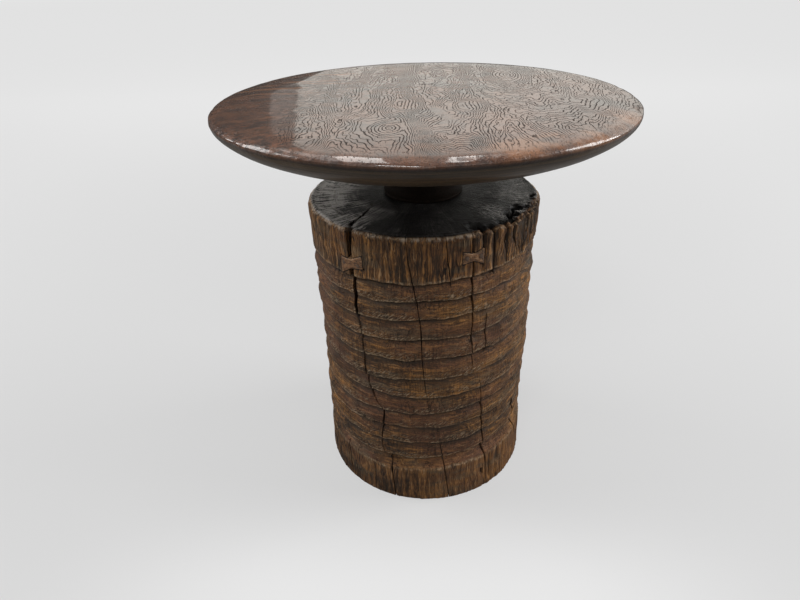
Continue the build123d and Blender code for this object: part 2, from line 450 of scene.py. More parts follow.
@dataclass(frozen=True)
class LacqueredSwirlWood:
    """Dark hardwood whose figure runs in open contour-like grooves under a gloss lacquer."""

    deep: Colour = (0.030, 0.011, 0.007)
    warm: Colour = (0.132, 0.052, 0.026)
    ember: Colour = (0.228, 0.084, 0.035)
    fired: Colour = (0.300, 0.126, 0.050)
    groove: Colour = (0.016, 0.010, 0.007)
    char: Colour = (0.012, 0.005, 0.003)
    shade: Colour = (0.014, 0.009, 0.005)
    straw: Colour = (0.112, 0.070, 0.034)

    face: float = 0.6  # height of the upper face
    slope: float = 170.0  # rings per metre across the board
    swirls: tuple[Flow, ...] = (
        Flow(Grain(5.0, 0.6, 0.4, (1.0, 0.24, 1.0)), 124.0),
        Flow(Grain(15.0, 0.6, 0.4, (1.0, 0.24, 1.0)), 40.0),
    )
    ripples: tuple[Flow, ...] = (
        Flow(Grain(48.0, 0.6, 0.4, (1.0, 0.32, 1.0)), 7.4),
        Flow(Grain(130.0, 0.6, 0.4, (1.0, 0.50, 1.0)), 1.9),
    )
    apart: float = 3.7  # distance between one layer's noise and the next one's
    quiver: Pair = (90.0, 0.0016)  # waver of the rings: lumps per metre, and how far
    eyes: tuple[Eye, ...] = (
        Eye(-0.035, -0.180, 9.0, 1.6, 270.0),
        Eye(-0.016, -0.070, -4.0, 2.2),
        Eye(0.060, -0.080, -4.0, 1.8),
        Eye(0.205, -0.085, 5.0, 1.8, 240.0),
        Eye(0.125, 0.110, -6.0, 2.4, 215.0),
    )
    joined: float = 2.0  # rings over which an eye joins the field
    calm: Pair = (1.4, 0.7)  # shares of an eye's reach between which the ripples die down
    calmed: float = 0.72  # share of the ripples that it lacks

    close: float = 185.0  # rings per metre at which a line takes its full share of its ring
    thinnest: float = 0.12  # least and most that a line's width is scaled by
    widest: float = 1.20
    nudge: float = 0.0004  # step over which the rings' closeness is taken
    line_start: Pair = (0.0, 0.05)  # a line's place within its ring
    line_stop: Pair = (0.37, 0.26)
    slab: tuple[Pair, Pair] = ((0.009, -0.072), (0.035, -0.164))  # a stretch without lines
    slab_slack: float = 0.2  # how much a distance past its ends counts as one across
    slab_edge: Pair = (0.0085, 0.0060)  # half its width, outside and inside its soft edge
    plain_front: Region = Region(y=(-0.06, -0.16), radius=(0.248, 0.268))
    plain_left: Region = Region(x=(-0.13, -0.19))

    # painted shade: the board is painted darker at the left and the right front, where the lacquer mirrors
    # less light
    painted_shade_left: Region = Region(x=(-0.12, -0.24))
    painted_shade_right: Region = Region(x=(0.08, 0.20), y=(0.04, -0.10))
    fired_rim: Region = Region(x=(-0.03, 0.02), y=(-0.06, -0.15), radius=(0.226, 0.252))
    glowing: Region = Region(x=(-0.08, -0.14))
    glow_back: Region = Region(y=(-0.06, 0.04))
    stroked: Region = Region(x=(-0.09, -0.16))

    clump: Grain = Grain(36.0, 4.0, 0.60)
    clump_lines: Pair = (0.34, 0.48)  # clump noise over which the lines open up
    clump_pores: Pair = (0.34, 0.60)  # and the pores
    torn: Grain = Grain(430.0, 2.0, 0.60, (1.0, 0.35, 1.0), cut=(0.38, 0.50))
    streak: Grain = Grain(1.0, 3.0, 0.70, (0.7, 1.0, 1.0))
    patch: Grain = Grain(9.0, 3.0, 0.55)
    flame: Grain = Grain(34.0, 4.0, 0.66, drift=(20.0, 0.012))
    fire: Grain = Grain(15.0, 3.0, 0.60, drift=(14.0, 0.020), cut=(0.42, 0.60))
    glow: Grain = Grain(60.0, 4.0, 0.62, (0.16, 1.0, 1.0), (18.0, 0.010), (0.50, 0.62))
    stroke: Grain = Grain(230.0, 4.0, 0.66, (0.30, 1.0, 1.0), (26.0, 0.012), (0.55, 0.42))
    turned: Grain = Grain(260.0, 4.0, 0.68, (0.55, 0.30, 1.0))
    rubbed: Grain = Grain(55.0, 4.0, 0.66, drift=(60.0, 0.006), cut=(0.50, 0.42))
    dents: Grain = Grain(85.0, 3.0, 0.60, drift=(60.0, 0.004))
    dent_deep: float = 0.0038
    line_deep: float = 0.0003

    def height_at(self, shader: Shader, x: Any, y: Any, z: Any) -> Wire:
        """The figure's height without its eyes, in rings."""
        return shader.math("MULTIPLY", x, self.slope) + self.sway(shader, x, y, z, self.swirls)

    def sway(self, shader: Shader, x: Any, y: Any, z: Any, layers: Sequence[Flow]) -> Wire:
        """The sum of some layers of noise, in rings.

        Args:
            shader: The tree to add it to.
            x: The place's X.
            y: Its Y.
            z: Its Z.
            layers: The layers.

        Returns:
            The sum.
        """
        total = shader.math("MULTIPLY", x, 0.0)
        for number, flow in enumerate(layers):
            at = shader.vec(shader.math("ADD", x, number * self.apart), y, z)
            total = total + shader.grain(at, flow.grain) * flow.rings
        return total

    def plain(self, shader: Shader, point: Wire) -> Wire:
        """Where the figure fades: the front rim, the far left and one slab without rings.

        Args:
            shader: The tree to add it to.
            point: The place.

        Returns:
            A value from 0 to 1.
        """
        x, y, _ = shader.axes(point)
        (ax, ay), (bx, by) = self.slab
        run, rise = bx - ax, by - ay
        reach = run**2 + rise**2
        along = ((x - ax) * (run / reach) + (y - ay) * (rise / reach)).step(0.0, 1.0)
        across = x - ax - along * run + (y - ay - along * rise) * self.slab_slack
        slab = abs(across).step(*self.slab_edge) * along.step(0.0, 0.1) * along.step(1.0, 0.9)
        rim = shader.larger(shader.within(point, self.plain_front), shader.within(point, self.plain_left))
        return shader.larger(slab, rim)

    def figure(self, shader: Shader, ahead: float = 0.0, aside: float = 0.0) -> Wire:
        """The figure's height, counted in rings.

        Args:
            shader: The tree to add it to.
            ahead: How far along X from the point shaded it is taken.
            aside: The same along Y.

        Returns:
            A value whose whole numbers are the ring lines.
        """
        place = shader.vector("ADD", shader.point(), (ahead, aside, 0.0))
        x, y, z = shader.axes(shader.drift(place, *self.quiver))
        rings = self.height_at(shader, x, y, z)
        calm = shader.math("MULTIPLY", x, 0.0)
        for eye in self.eyes:
            far = shader.far(x - eye.x, (y - eye.y) / eye.drawn) * eye.steep
            middle = self.height_at(shader, eye.x, eye.y, self.face) + eye.rings
            calm = shader.larger(calm, far.step(*(abs(eye.rings) * share for share in self.calm)))
            if eye.rings > 0:
                rings = shader.math("SMOOTH_MAX", rings, middle - far, self.joined)
            else:
                rings = shader.math("SMOOTH_MIN", rings, middle + far, self.joined)
        return rings + self.sway(shader, x, y, z, self.ripples) * (1 - calm * self.calmed)

    def thinness(self, shader: Shader, rings: Wire) -> Wire:
        """What a line's share of its ring is scaled by, so that lines far apart stay thin.

        Args:
            shader: The tree to add it to.
            rings: The figure's height.

        Returns:
            The scale.
        """
        ahead = self.figure(shader, ahead=self.nudge) - rings
        aside = self.figure(shader, aside=self.nudge) - rings
        steep = shader.far(ahead, aside) * (1 / (self.nudge * self.close))
        return shader.math("MINIMUM", shader.larger(steep, self.thinnest), self.widest)

    def line(self, shader: Shader, point: Wire, rings: Wire, clump: Wire) -> Wire:
        """The open ring lines, with torn edges.

        Args:
            shader: The tree to add them to.
            point: The place.
            rings: The figure's height.
            clump: Broad noise that opens them more in some places than in others.

        Returns:
            How open the wood is, from 0 to 1.
        """
        saw = rings.fract() / self.thinness(shader, rings)
        torn = shader.grain(point, self.torn)
        open_by = (clump.step(*self.clump_lines) * 0.34 + 0.66) * (torn * 0.34 + 0.66)
        open_by = open_by * (1 - self.plain(shader, point) * 0.9)
        return saw.step(*self.line_stop) * saw.step(*self.line_start) * open_by

    def board(self, shader: Shader, point: Wire, tone: Wire, stroke: Wire, above: Wire) -> Wire:
        """The wood between the lines: darker at either side as painted shade, where the lacquer mirrors
        less light; fired along the front and back left.

        Args:
            shader: The tree to add it to.
            point: The place.
            tone: How light the wood is.
            stroke: Dark strokes across the board.
            above: 1 on the upper face, 0 underneath.

        Returns:
            A colour.
        """
        wood = shader.ramp(tone, (0.40, self.deep), (0.53, self.warm), (0.70, self.ember))
        wood = shader.mix(stroke * above, wood, self.char)
        # painted shade at the right front and at the left
        wood = shader.mix(shader.within(point, self.painted_shade_right) * 0.45, wood, self.deep)
        wood = shader.mix(shader.within(point, self.painted_shade_left) * 0.25, wood, self.deep)
        fire = shader.grain(point, self.fire) * shader.within(point, self.fired_rim)
        wood = shader.mix(fire * 0.62, wood, self.fired)
        glow = shader.grain(point, self.glow) * shader.within(point, self.glowing)
        glow = glow * (0.25 + shader.within(point, self.glow_back) * 0.75)
        return shader.mix(glow * 0.60 * above, wood, self.fired)

    def paint(self) -> Any:
        """Builds the material.

        Returns:
            The material.
        """
        shader = new_shader("lacquered_swirl_wood")
        point = shader.point()
        x, y, z = shader.axes(point)
        radius = shader.far(x, y)
        under, arris = shader.attribute("under"), shader.attribute("arris")
        above = 1 - under
        rings = self.figure(shader)
        clump = shader.grain(point, self.clump)
        line = self.line(shader, point, rings, clump) * above
        streak = shader.grain(shader.vec(rings, 0.0, 0.0), self.streak)
        pores = shader.cells(shader.stretch(point, (1.0, 0.16, 1.0)), 460.0).step(0.40, 0.18)
        pores = pores * clump.step(*self.clump_pores)
        patch, flame = shader.grain(point, self.patch), shader.grain(point, self.flame)
        turned = shader.grain(shader.vec(radius, radius, z), self.turned)
        stroke = shader.grain(point, self.stroke) * (0.20 + shader.within(point, self.stroked) * 0.62)
        tone = patch * 0.34 + streak * 0.20 + flame * 0.46
        wood = self.board(shader, point, tone, stroke, above)
        rim = shader.ramp(turned * 0.80 + patch * 0.20, (0.40, self.shade), (0.62, self.straw))
        wood = shader.mix(under, wood, rim)
        wood = shader.mix(line * 0.95, wood, self.groove)
        wood = shader.mix(pores * 0.6 * above, wood, self.groove)
        gloss = (1 - line * 0.96) * (1 - pores * 0.72) * (1 - under * 0.80) * (1 - stroke * 0.45)
        gloss = gloss * (1 - arris * shader.grain(point, self.rubbed) * 0.88)
        dented = shader.bump(shader.grain(point, self.dents) * arris, self.dent_deep)
        height = 1 - line * 0.8 - pores * 0.35 + streak * 0.2 + turned * under * 0.6
        return shader.surface(
            Base_Color=wood,
            Roughness=0.40 + patch * 0.14 + line * 0.46,
            Normal=shader.bump(height, self.line_deep, dented),
            Specular_IOR_Level=0.26,
            Coat_Weight=gloss,
            Coat_Roughness=0.07,
            Coat_IOR=1.52,
        )


@dataclass(frozen=True)
class NeckPaintedShadeWood:
    """Turned hardwood, satin, its colour painted nearly black as painted shade under the top."""

    # deep and warm are painted shade: the neck stands in the top's shadow
    deep: Colour = (0.003, 0.002, 0.001)
    warm: Colour = (0.013, 0.007, 0.004)
    fibre: Grain = Grain(420.0, 3.0, 0.60, (1.0, 1.0, 0.06))
    cloud: Grain = Grain(24.0)
    turned: Grain = Grain(620.0, 1.0, drawn=(0.0, 0.0, 1.0))
    relief: float = 0.0004

    def paint(self) -> Any:
        """Builds the material.

        Returns:
            The material.
        """
        shader = new_shader("neck_painted_shade_wood")
        grains = (self.fibre, self.cloud, self.turned)
        fibre, cloud, turned = (shader.grain(shader.point(), grain) for grain in grains)
        wood = shader.ramp(fibre * 0.6 + cloud * 0.4, (0.35, self.deep), (0.68, self.warm))
        return shader.surface(
            Base_Color=wood,
            Roughness=0.66 + cloud * 0.16,
            Normal=shader.bump(fibre * 0.6 + turned * 0.4, self.relief),
            Specular_IOR_Level=0.08,
        )


@dataclass(frozen=True)
class WeatheredLog:
    """The log: weathered brown carved side, blackened end grain, black splits, with painted highlight and
    painted shade on its edges, notches, splits and pits.
    """

    umber: Colour = (0.018, 0.010, 0.005)
    brown: Colour = (0.116, 0.053, 0.019)
    amber: Colour = (0.320, 0.145, 0.038)
    plum: Colour = (0.130, 0.054, 0.028)
    ash: Colour = (0.086, 0.067, 0.042)
    # pale fibres and worn lips; on the lips it is also painted highlight
    dust: Colour = (0.400, 0.290, 0.180)
    # painted highlight along the end grain's rim
    rim_highlight: Colour = (0.480, 0.390, 0.300)
    # black end grain and cracks, and painted shade in splits, pits, key gaps and about the neck
    soot_and_shade: Colour = (0.003, 0.002, 0.002)
    ebony: Colour = (0.010, 0.008, 0.007)
    # grey fibres and painted sheen on the end grain
    silver_and_sheen: Colour = (0.420, 0.390, 0.360)

    wall: float = 0.166  # radius of the wall
    # the dark gap about a key is a dark joint and painted shade
    gap_out: Pair = (0.0019, 0.0007)  # how far the dark gap about a key fades, outside its edge
    gap_in: Pair = (-0.0016, -0.0004)  # and inside it
    ragged: tuple[float, float, float] = (260.0, 0.0013, 3.0)  # its unevenness
    foot: Region = Region(z=(0.090, 0.065))
    foot_left: Region = Region(x=(-0.03, -0.10))
    # painted shade on the end grain about the neck and at the front, under the top
    painted_shade: Region = Region(radius=(0.125, 0.075))
    painted_shade_front: Region = Region(y=(-0.04, -0.09), width=(0.10, 0.05))
    relief: float = 0.0030

    wavy: Pair = (34.0, 0.0034)  # waver of the fibres: lumps per metre, and how far
    upright: Grain = Grain(250.0, 4.0, 0.68, (1.0, 1.0, 0.05))
    level: Grain = Grain(230.0, 4.0, 0.68, (0.14, 0.14, 1.0))
    standing: Grain = Grain(480.0, 3.0, 0.62, (1.0, 1.0, 0.07))
    lying: Grain = Grain(480.0, 3.0, 0.62, (0.10, 0.10, 1.0))
    cracked: Grain = Grain(30.0, cut=(0.50, 0.64))
    patch: Grain = Grain(11.0, 3.0, 0.60, (1.0, 1.0, 1.8))
    blush: Grain = Grain(8.0, drawn=(1.0, 1.0, 1.4), cut=(0.45, 0.60))
    grey: Grain = Grain(22.0, 4.0, 0.62, (0.7, 0.7, 2.2), cut=(0.52, 0.66))
    rays: Grain = Grain(1.0, 4.0, 0.72, (52.0, 24.0, 1.0))  # over azimuth and radius
    rings: Grain = Grain(1.0, 3.0, 0.60, (3.0, 300.0, 1.0))
    fleck: Grain = Grain(1.0, 2.0, 0.60, (120.0, 90.0, 1.0))
    worn: Grain = Grain(22.0, 4.0, 0.65)
    fray: Grain = Grain(380.0, 3.0, 0.66, cut=(0.50, 0.60))
    fray_patches: Grain = Grain(17.0, 3.0, drawn=(1.0, 1.0, 3.0), cut=(0.42, 0.54))
    torn: Grain = Grain(300.0, drawn=(1.0, 1.0, 0.5), cut=(0.42, 0.62))
    uneven: Grain = Grain(16.0, 3.0, 0.60, (1.0, 1.0, 2.4), cut=(0.42, 0.56))
    chipped: Grain = Grain(120.0, 4.0, 0.70, (1.0, 0.3, 1.0), cut=(0.44, 0.54))

    def arc(self, shader: Shader, x: Wire, y: Wire) -> Wire:
        """Distance round the wall from the middle of the show side."""
        return shader.math("ARCTAN2", x, y * -1) * self.wall

    def key_gap(self, shader: Shader, key: KeySize, arc: Wire, z: Wire) -> Wire:
        """How near a place on the wall is to a key's edge.

        Args:
            shader: The tree to add it to.
            key: The key.
            arc: Distance round the wall.
            z: Height.

        Returns:
            A value from 0 to 1, 1 at the edge.
        """
        half, waist = key.length * MM / 2, key.waist * MM / 2
        across = (arc - radians(key.azimuth) * self.wall) * (1 / half)
        share = abs(across)
        left, right = (wing * MM / 2 - waist for wing in key.wings)
        widen = share * (left + across.step(-0.01, 0.01) * (right - left))
        over = abs(z - key.height * MM - across * (key.rise * MM / 2)) - widen - waist
        far = shader.larger(over, (share - 1) * half)
        return far.step(*self.gap_out) * far.step(*self.gap_in)

    def side(self, shader: Shader, point: Wire, fibre: Wire, strand: Wire) -> Wire:
        """The colour of the carved side.

        Args:
            shader: The tree to add it to.
            point: The place.
            fibre: Fine fibre noise.
            strand: Broad strand noise.

        Returns:
            A colour.
        """
        band = shader.attribute("band")
        x, _, _ = shader.axes(point)
        patch, blush, grey = (shader.grain(point, g) for g in (self.patch, self.blush, self.grey))
        foot = shader.within(point, self.foot)
        strong = 1 - foot * 0.38
        tone = patch * 0.44 + ((strand - 0.5) * 0.62 + (fibre - 0.5) * 0.60) * strong + 0.28
        # painted light: the bands are painted lighter towards +X, where the right soft box falls
        tone = tone + band * x * 0.18 - foot * shader.within(point, self.foot_left) * 0.045
        wood = shader.ramp(tone, (0.38, self.umber), (0.49, self.brown), (0.64, self.amber))
        wood = shader.mix(blush * (band * 0.35 + 0.25), wood, self.plum)
        wood = shader.mix(grey * 0.55, wood, self.ash)
        wood = shader.mix(strand.step(0.43, 0.34) * 0.6 * strong, wood, self.umber)
        wood = shader.mix(fibre.step(0.45, 0.36) * 0.6 * strong, wood, self.umber)
        wood = shader.mix(abs(strand - 0.5).step(0.040, 0.012) * 0.70 * strong, wood, self.umber)
        pale = fibre.step(0.56, 0.66) * strand.step(0.42, 0.56)
        return shader.mix(pale * 0.42 * strong, wood, self.dust)

    def end(self, shader: Shader, point: Wire) -> tuple[Wire, Wire]:
        """The blackened end grain: radial checks and worn growth rings, with painted light to the left,
        painted sheen and painted shade.

        Args:
            shader: The tree to add it to.
            point: The place.

        Returns:
            Its colour and its height.
        """
        drifted = shader.drift(point, 30.0, 0.004)
        x, y, _ = shader.axes(drifted)
        polar = shader.vec(shader.math("ARCTAN2", x, y), shader.far(x, y), 0.0)
        rays, rings, fleck = (shader.grain(polar, g) for g in (self.rays, self.rings, self.fleck))
        worn = shader.grain(point, self.worn)
        # painted light: the end grain is painted lighter towards -X, where light falls from the left
        tone = rays * 0.52 + rings * 0.14 + worn * 0.34 - x * 0.55
        # the silver streaks and flecks are grey fibres and painted sheen
        wood = shader.ramp(tone, (0.48, self.soot_and_shade), (0.54, self.ebony), (0.60, self.silver_and_sheen))
        wood = shader.mix(fleck.step(0.54, 0.62) * worn.step(0.44, 0.54) * 0.8, wood, self.silver_and_sheen)
        wood = shader.mix(rays.step(0.44, 0.38) * 0.9, wood, self.soot_and_shade)
        # painted shade about the neck and at the front
        middle, front = (shader.within(drifted, r) for r in (self.painted_shade, self.painted_shade_front))
        painted_shade = shader.larger(middle, front)
        relief = rays * 0.70 + fleck * 0.70 + rings * 0.20 + worn * 0.40
        return shader.mix(painted_shade * 0.90, wood, self.soot_and_shade), relief * (1 - painted_shade * 0.5)

    def frayed(self, shader: Shader, point: Wire) -> Wire:
        """Slanting pale fibres over the lower half of each band, in patches.

        Args:
            shader: The tree to add them to.
            point: The place.

        Returns:
            A value from 0 to 1.
        """
        x, y, z = shader.axes(point)
        arc = self.arc(shader, x, y)
        slant = shader.vec((arc + z) * 0.20, arc * 0.8 - z, 0.0)
        patches = shader.grain(point, self.fray_patches)
        return shader.grain(slant, self.fray) * patches * shader.attribute("fray")

    def edges(self, shader: Shader, point: Wire, wavy: Wire, wood: Wire) -> Wire:
        """Pale lips, worn and with painted highlight, a painted highlight along the rim, and painted shade
        in the notches and creases.

        Args:
            shader: The tree to add them to.
            point: The place.
            wavy: The place, moved about a little.
            wood: The colour so far.

        Returns:
            The colour with them.
        """
        x, y, z = shader.axes(point)
        torn, uneven = shader.grain(wavy, self.torn), shader.grain(point, self.uneven)
        chipped = shader.grain(shader.vec(self.arc(shader, x, y), z, 0.0), self.chipped)
        # lips: pale wear and painted highlight
        lip = shader.attribute("lip") * (0.15 + torn * 0.65) * (0.35 + uneven * 0.65)
        wood = shader.mix(lip, wood, self.dust)
        # painted highlight along the rim
        wood = shader.mix(shader.attribute("rim") * chipped * 0.70, wood, self.rim_highlight)
        # painted shade in the notch under each lip
        wood = shader.mix(shader.attribute("groove") * (0.96 - uneven * 0.30), wood, self.umber)
        # painted shade where the collars are sunk
        return shader.mix(shader.attribute("crease_shade") * 0.85, wood, self.umber)

    def paint(self) -> Any:
        """Builds the material.

        Returns:
            The material.
        """
        shader = new_shader("weathered_log")
        point = shader.point()
        wavy = shader.drift(point, *self.wavy)
        end, band = shader.attribute("end"), shader.attribute("band")
        grains = (self.upright, self.level, self.standing, self.lying)
        upright, level, standing, lying = (shader.grain(wavy, grain) for grain in grains)
        strand = upright * (1 - band * 0.74) + level * (band * 0.74)
        fibre = standing * (1 - band * 0.60) + lying * (band * 0.60)
        check = shader.cells(shader.stretch(wavy, (1.0, 1.0, 0.09)), 190.0, CellFeature.EDGE)
        crack = check.step(0.06, 0.015) * shader.grain(point, self.cracked)
        frayed = self.frayed(shader, point)
        wood = shader.mix(frayed * 0.70, self.side(shader, point, fibre, strand), self.dust)
        wood = self.edges(shader, point, wavy, wood)
        wood = shader.mix(crack * 0.85 * (1 - band * 0.6), wood, self.soot_and_shade)
        x, y, z = shader.axes(shader.drift(point, *self.ragged))
        arc = self.arc(shader, x, y)
        # the dark gap about each key: a dark joint and painted shade
        for key in KEYS:
            wood = shader.mix(self.key_gap(shader, key, arc, z) * 0.92, wood, self.soot_and_shade)
        black, relief = self.end(shader, point)
        wood = shader.mix(end, wood, black)
        # painted shade inside the splits and the pits
        wood = shader.mix(shader.attribute("split_shade"), wood, self.soot_and_shade)
        height = fibre * 0.50 + strand * 0.95 + frayed * 0.30 - crack * 0.8
        height = height * (1 - end) + relief * end * 0.8
        return shader.surface(
            Base_Color=wood,
            Roughness=0.60 + fibre * 0.16 - end * (0.10 + relief.step(0.80, 1.15) * 0.34),
            Normal=shader.bump(height, self.relief),
            Specular_IOR_Level=0.28,
        )


@dataclass(frozen=True)
class KeyWood:
    """The butterfly keys: worn wood, lighter than the log, its grain along the key."""

    umber: Colour = (0.034, 0.018, 0.009)
    tan: Colour = (0.205, 0.090, 0.032)
    dust: Colour = (0.320, 0.200, 0.105)
    fibre: Grain = Grain(620.0, 3.0, 0.66, (0.16, 0.5, 1.0))
    cloud: Grain = Grain(150.0, 3.0, 0.66)
    relief: float = 0.0016

    def paint(self) -> Any:
        """Builds the material.

        Returns:
            The material.
        """
        shader = new_shader("key_wood")
        fibre, cloud = (shader.grain(shader.point(), grain) for grain in (self.fibre, self.cloud))
        wood = shader.ramp(fibre * 0.5 + cloud * 0.5, (0.40, self.umber), (0.58, self.tan))
        wood = shader.mix(cloud.step(0.54, 0.66) * 0.6, wood, self.dust)
        wood = shader.mix(shader.attribute("lip") * fibre.step(0.40, 0.52) * 0.5, wood, self.dust)
        return shader.surface(
            Base_Color=wood,
            Roughness=0.60 + cloud * 0.15,
            Normal=shader.bump(fibre * 0.6 + cloud * 0.6, self.relief),
        )


@dataclass(frozen=True)
class PegWood:
    """The keys' pegs: dark end grain."""

    dark: Colour = (0.018, 0.011, 0.008)
    brown: Colour = (0.085, 0.048, 0.028)
    relief: float = 0.0003

    def paint(self) -> Any:
        """Builds the material.

        Returns:
            The material.
        """
        shader = new_shader("peg_wood")
        pores = shader.cells(shader.stretch(shader.point(), (1.0, 0.2, 1.0)), 1500.0)
        wood = shader.ramp(pores, (0.15, self.dark), (0.55, self.brown))
        return shader.surface(Base_Color=wood, Roughness=0.7, Normal=shader.bump(pores, self.relief))


@dataclass(frozen=True)
class DowelWood:
    """The hidden dowel: plain beech with short flecks, unfinished."""

    pale: Colour = (0.520, 0.360, 0.225)
    fleck: Colour = (0.330, 0.200, 0.110)
    grain: Grain = Grain(380.0, 3.0, 0.60, (1.0, 1.0, 0.05))
    relief: float = 0.0003

    def paint(self) -> Any:
        """Builds the material.

        Returns:
            The material.
        """
        shader = new_shader("dowel_wood")
        point = shader.point()
        grain = shader.grain(point, self.grain)
        flecks = shader.cells(shader.stretch(point, (1.0, 1.0, 0.16)), 900.0).step(0.28, 0.14)
        wood = shader.ramp(grain, (0.30, self.fleck), (0.62, self.pale))
        return shader.surface(
            Base_Color=shader.mix(flecks * 0.6, wood, self.fleck),
            Roughness=0.55 + grain * 0.15,
            Normal=shader.bump(grain, self.relief),
        )


# ---- Mesh kit ----


class Lattice:
    """Smooth seeded noise from -1 to 1 over azimuth and a second place, closed round the axis."""

    def __init__(self, rng: np.random.Generator, around: int, along: int, span: Pair) -> None:
        """Draws the lattice.

        Args:
            rng: The source of random numbers.
            around: Cells round the axis.
            along: Cells along the second place.
            span: The second place's lowest and highest value.
        """
        self.values = rng.uniform(-1.0, 1.0, (along + 1, around))
        self.low, self.high = span

    def at(self, azimuth: Array, place: Array) -> Array:
        """Reads the noise.

        Args:
            azimuth: Azimuths in degrees.
            place: The second places.

        Returns:
            Values from -1 to 1.
        """
        rows, cols = self.values.shape
        a = (azimuth / 360.0 % 1.0) * cols
        b = np.clip((place - self.low) / (self.high - self.low), 0.0, 1.0) * (rows - 1)
        a0 = np.floor(a).astype(int) % cols
        b0 = np.minimum(np.floor(b).astype(int), rows - 2)
        fa, fb = ease(a - np.floor(a), 0.0, 1.0), ease(b - b0, 0.0, 1.0)
        a1 = (a0 + 1) % cols
        upper = self.values[b0, a0] * (1 - fa) + self.values[b0, a1] * fa
        lower = self.values[b0 + 1, a0] * (1 - fa) + self.values[b0 + 1, a1] * fa
        return upper * (1 - fb) + lower * fb


@dataclass(frozen=True)
class Wear:
    """A layer of hand work or weather: its cells round the axis and along it, and its reach."""

    around: int
    along: int
    reach: float = 1.0
    sharp: int = 0  # a power that narrows it to thin lines, or 0

    def at(self, rng: np.random.Generator, span: Pair, azimuth: Array, place: Array) -> Array:
        """Draws the layer and reads it.

        Args:
            rng: The source of random numbers.
            span: The second place's lowest and highest value.
            azimuth: Azimuths in degrees.
            place: The second places.

        Returns:
            How far it moves each point.
        """
        value = Lattice(rng, self.around, self.along, span).at(azimuth, place)
        if self.sharp:
            value = (1 - np.abs(value)) ** self.sharp
        return value * self.reach


def ease(value: Array | float, low: float, high: float) -> Array:
    """A smooth step from 0 at low to 1 at high, which may be below low."""
    t = np.clip((value - low) / (high - low), 0.0, 1.0)
    return t * t * (3 - 2 * t)


def hump(value: Array | float, middle: float, half: float) -> Array:
    """A bell of height 1 about a middle, down to a third at half."""
    return np.exp(-(((value - middle) / half) ** 2))


def around(path: Array, columns: int) -> tuple[Array, Array, Array]:
    """Lays a profile out round the axis.

    Args:
        path: The profile's (radius, height) points.
        columns: Points round the axis.

    Returns:
        Radii, azimuths and heights, rows by columns.
    """
    turn = np.linspace(0.0, 360.0, columns, endpoint=False)[None, :]
    radius, azimuth, height = (
        np.broadcast_to(line, (len(path), columns)) for line in (path[:, :1], turn, path[:, 1:])
    )
    return radius, azimuth, height


def new_piece(name: str, points: Array, faces: list[Any], smooth_to: float, marks: dict[str, Array]) -> Any:
    """Writes a mesh, its faces turned outward and shaded smooth, and links an object for it.

    Args:
        name: The piece's name.
        points: Its points in millimetres.
        faces: Its faces.
        smooth_to: Edges that turn more than this, in degrees, stay sharp.
        marks: A value for each point by name, for the finish.

    Returns:
        The object.
    """
    mesh = bpy.data.meshes.new(name)
    mesh.from_pydata((points * MM).tolist(), [], faces)
    for mark, values in marks.items():
        mesh.attributes.new(mark, "FLOAT", "POINT").data.foreach_set("value", values)
    work = bmesh.new()
    work.from_mesh(mesh)
    bmesh.ops.recalc_face_normals(work, faces=work.faces)
    work.to_mesh(mesh)
    work.free()
    mesh.validate()
    mesh.shade_smooth()
    mesh.set_sharp_from_angle(angle=radians(smooth_to))
    return linked(name, mesh)


def linked(name: str, data: Any) -> Any:
    """A new object for some data, linked to the scene.

    Args:
        name: The object's name.
        data: Its mesh, light or camera.

    Returns:
        The object.
    """
    made = bpy.data.objects.new(name, data)
    bpy.context.scene.collection.objects.link(made)
    return made


def seat(piece: Any, node: str, material: Any) -> None:
    """Dresses a piece and lets it stand for its CAD node.

    Args:
        piece: The object.
        node: The CAD node that it replaces.
        material: Its finish.
    """
    piece.data.materials.append(material)
    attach(piece, BODY)
    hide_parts(node)
    log.info("%s: %d faces, stands for %s", piece.name, len(piece.data.polygons), node)


@dataclass
class Skin:
    """A closed skin round the axis: a grid of rows along a profile and columns round it."""

    name: str
    radius: Array  # rows by columns
    azimuth: Array
    height: Array
    ends: Pair | None = None  # heights of its first and last point on the axis
    marks: dict[str, Array] = field(default_factory=dict)

    def mesh(self, smooth_to: float) -> Any:
        """Writes the grid as an object.

        Args:
            smooth_to: Edges that turn more than this, in degrees, stay sharp.

        Returns:
            The object, linked to the scene.
        """
        rows, cols = self.radius.shape
        turn = np.radians(self.azimuth)
        grid = (self.radius * np.sin(turn), -self.radius * np.cos(turn), self.height)
        points = np.stack(grid, axis=-1).reshape(-1, 3)
        column = np.arange(cols)
        following = (column + 1) % cols
        faces: list[tuple[int, ...]] = []
        for row in range(rows - 1 if self.ends else rows):
            here, below = row * cols, ((row + 1) % rows) * cols
            strip = (here + column, here + following, below + following, below + column)
            faces.extend(map(tuple, np.stack(strip, axis=-1).tolist()))
        if self.ends:
            points = np.vstack([points, [[0, 0, height] for height in self.ends]])
            top, bottom, low = rows * cols, rows * cols + 1, (rows - 1) * cols
            faces.extend(zip([top] * cols, following.tolist(), column.tolist()))
            faces.extend(zip([bottom] * cols, (low + column).tolist(), (low + following).tolist()))
        marks = {
            name: np.pad(values.reshape(-1), (0, len(points) - rows * cols))
            for name, values in self.marks.items()
        }
        return new_piece(self.name, points, faces, smooth_to, marks)


# ---- Table top ----


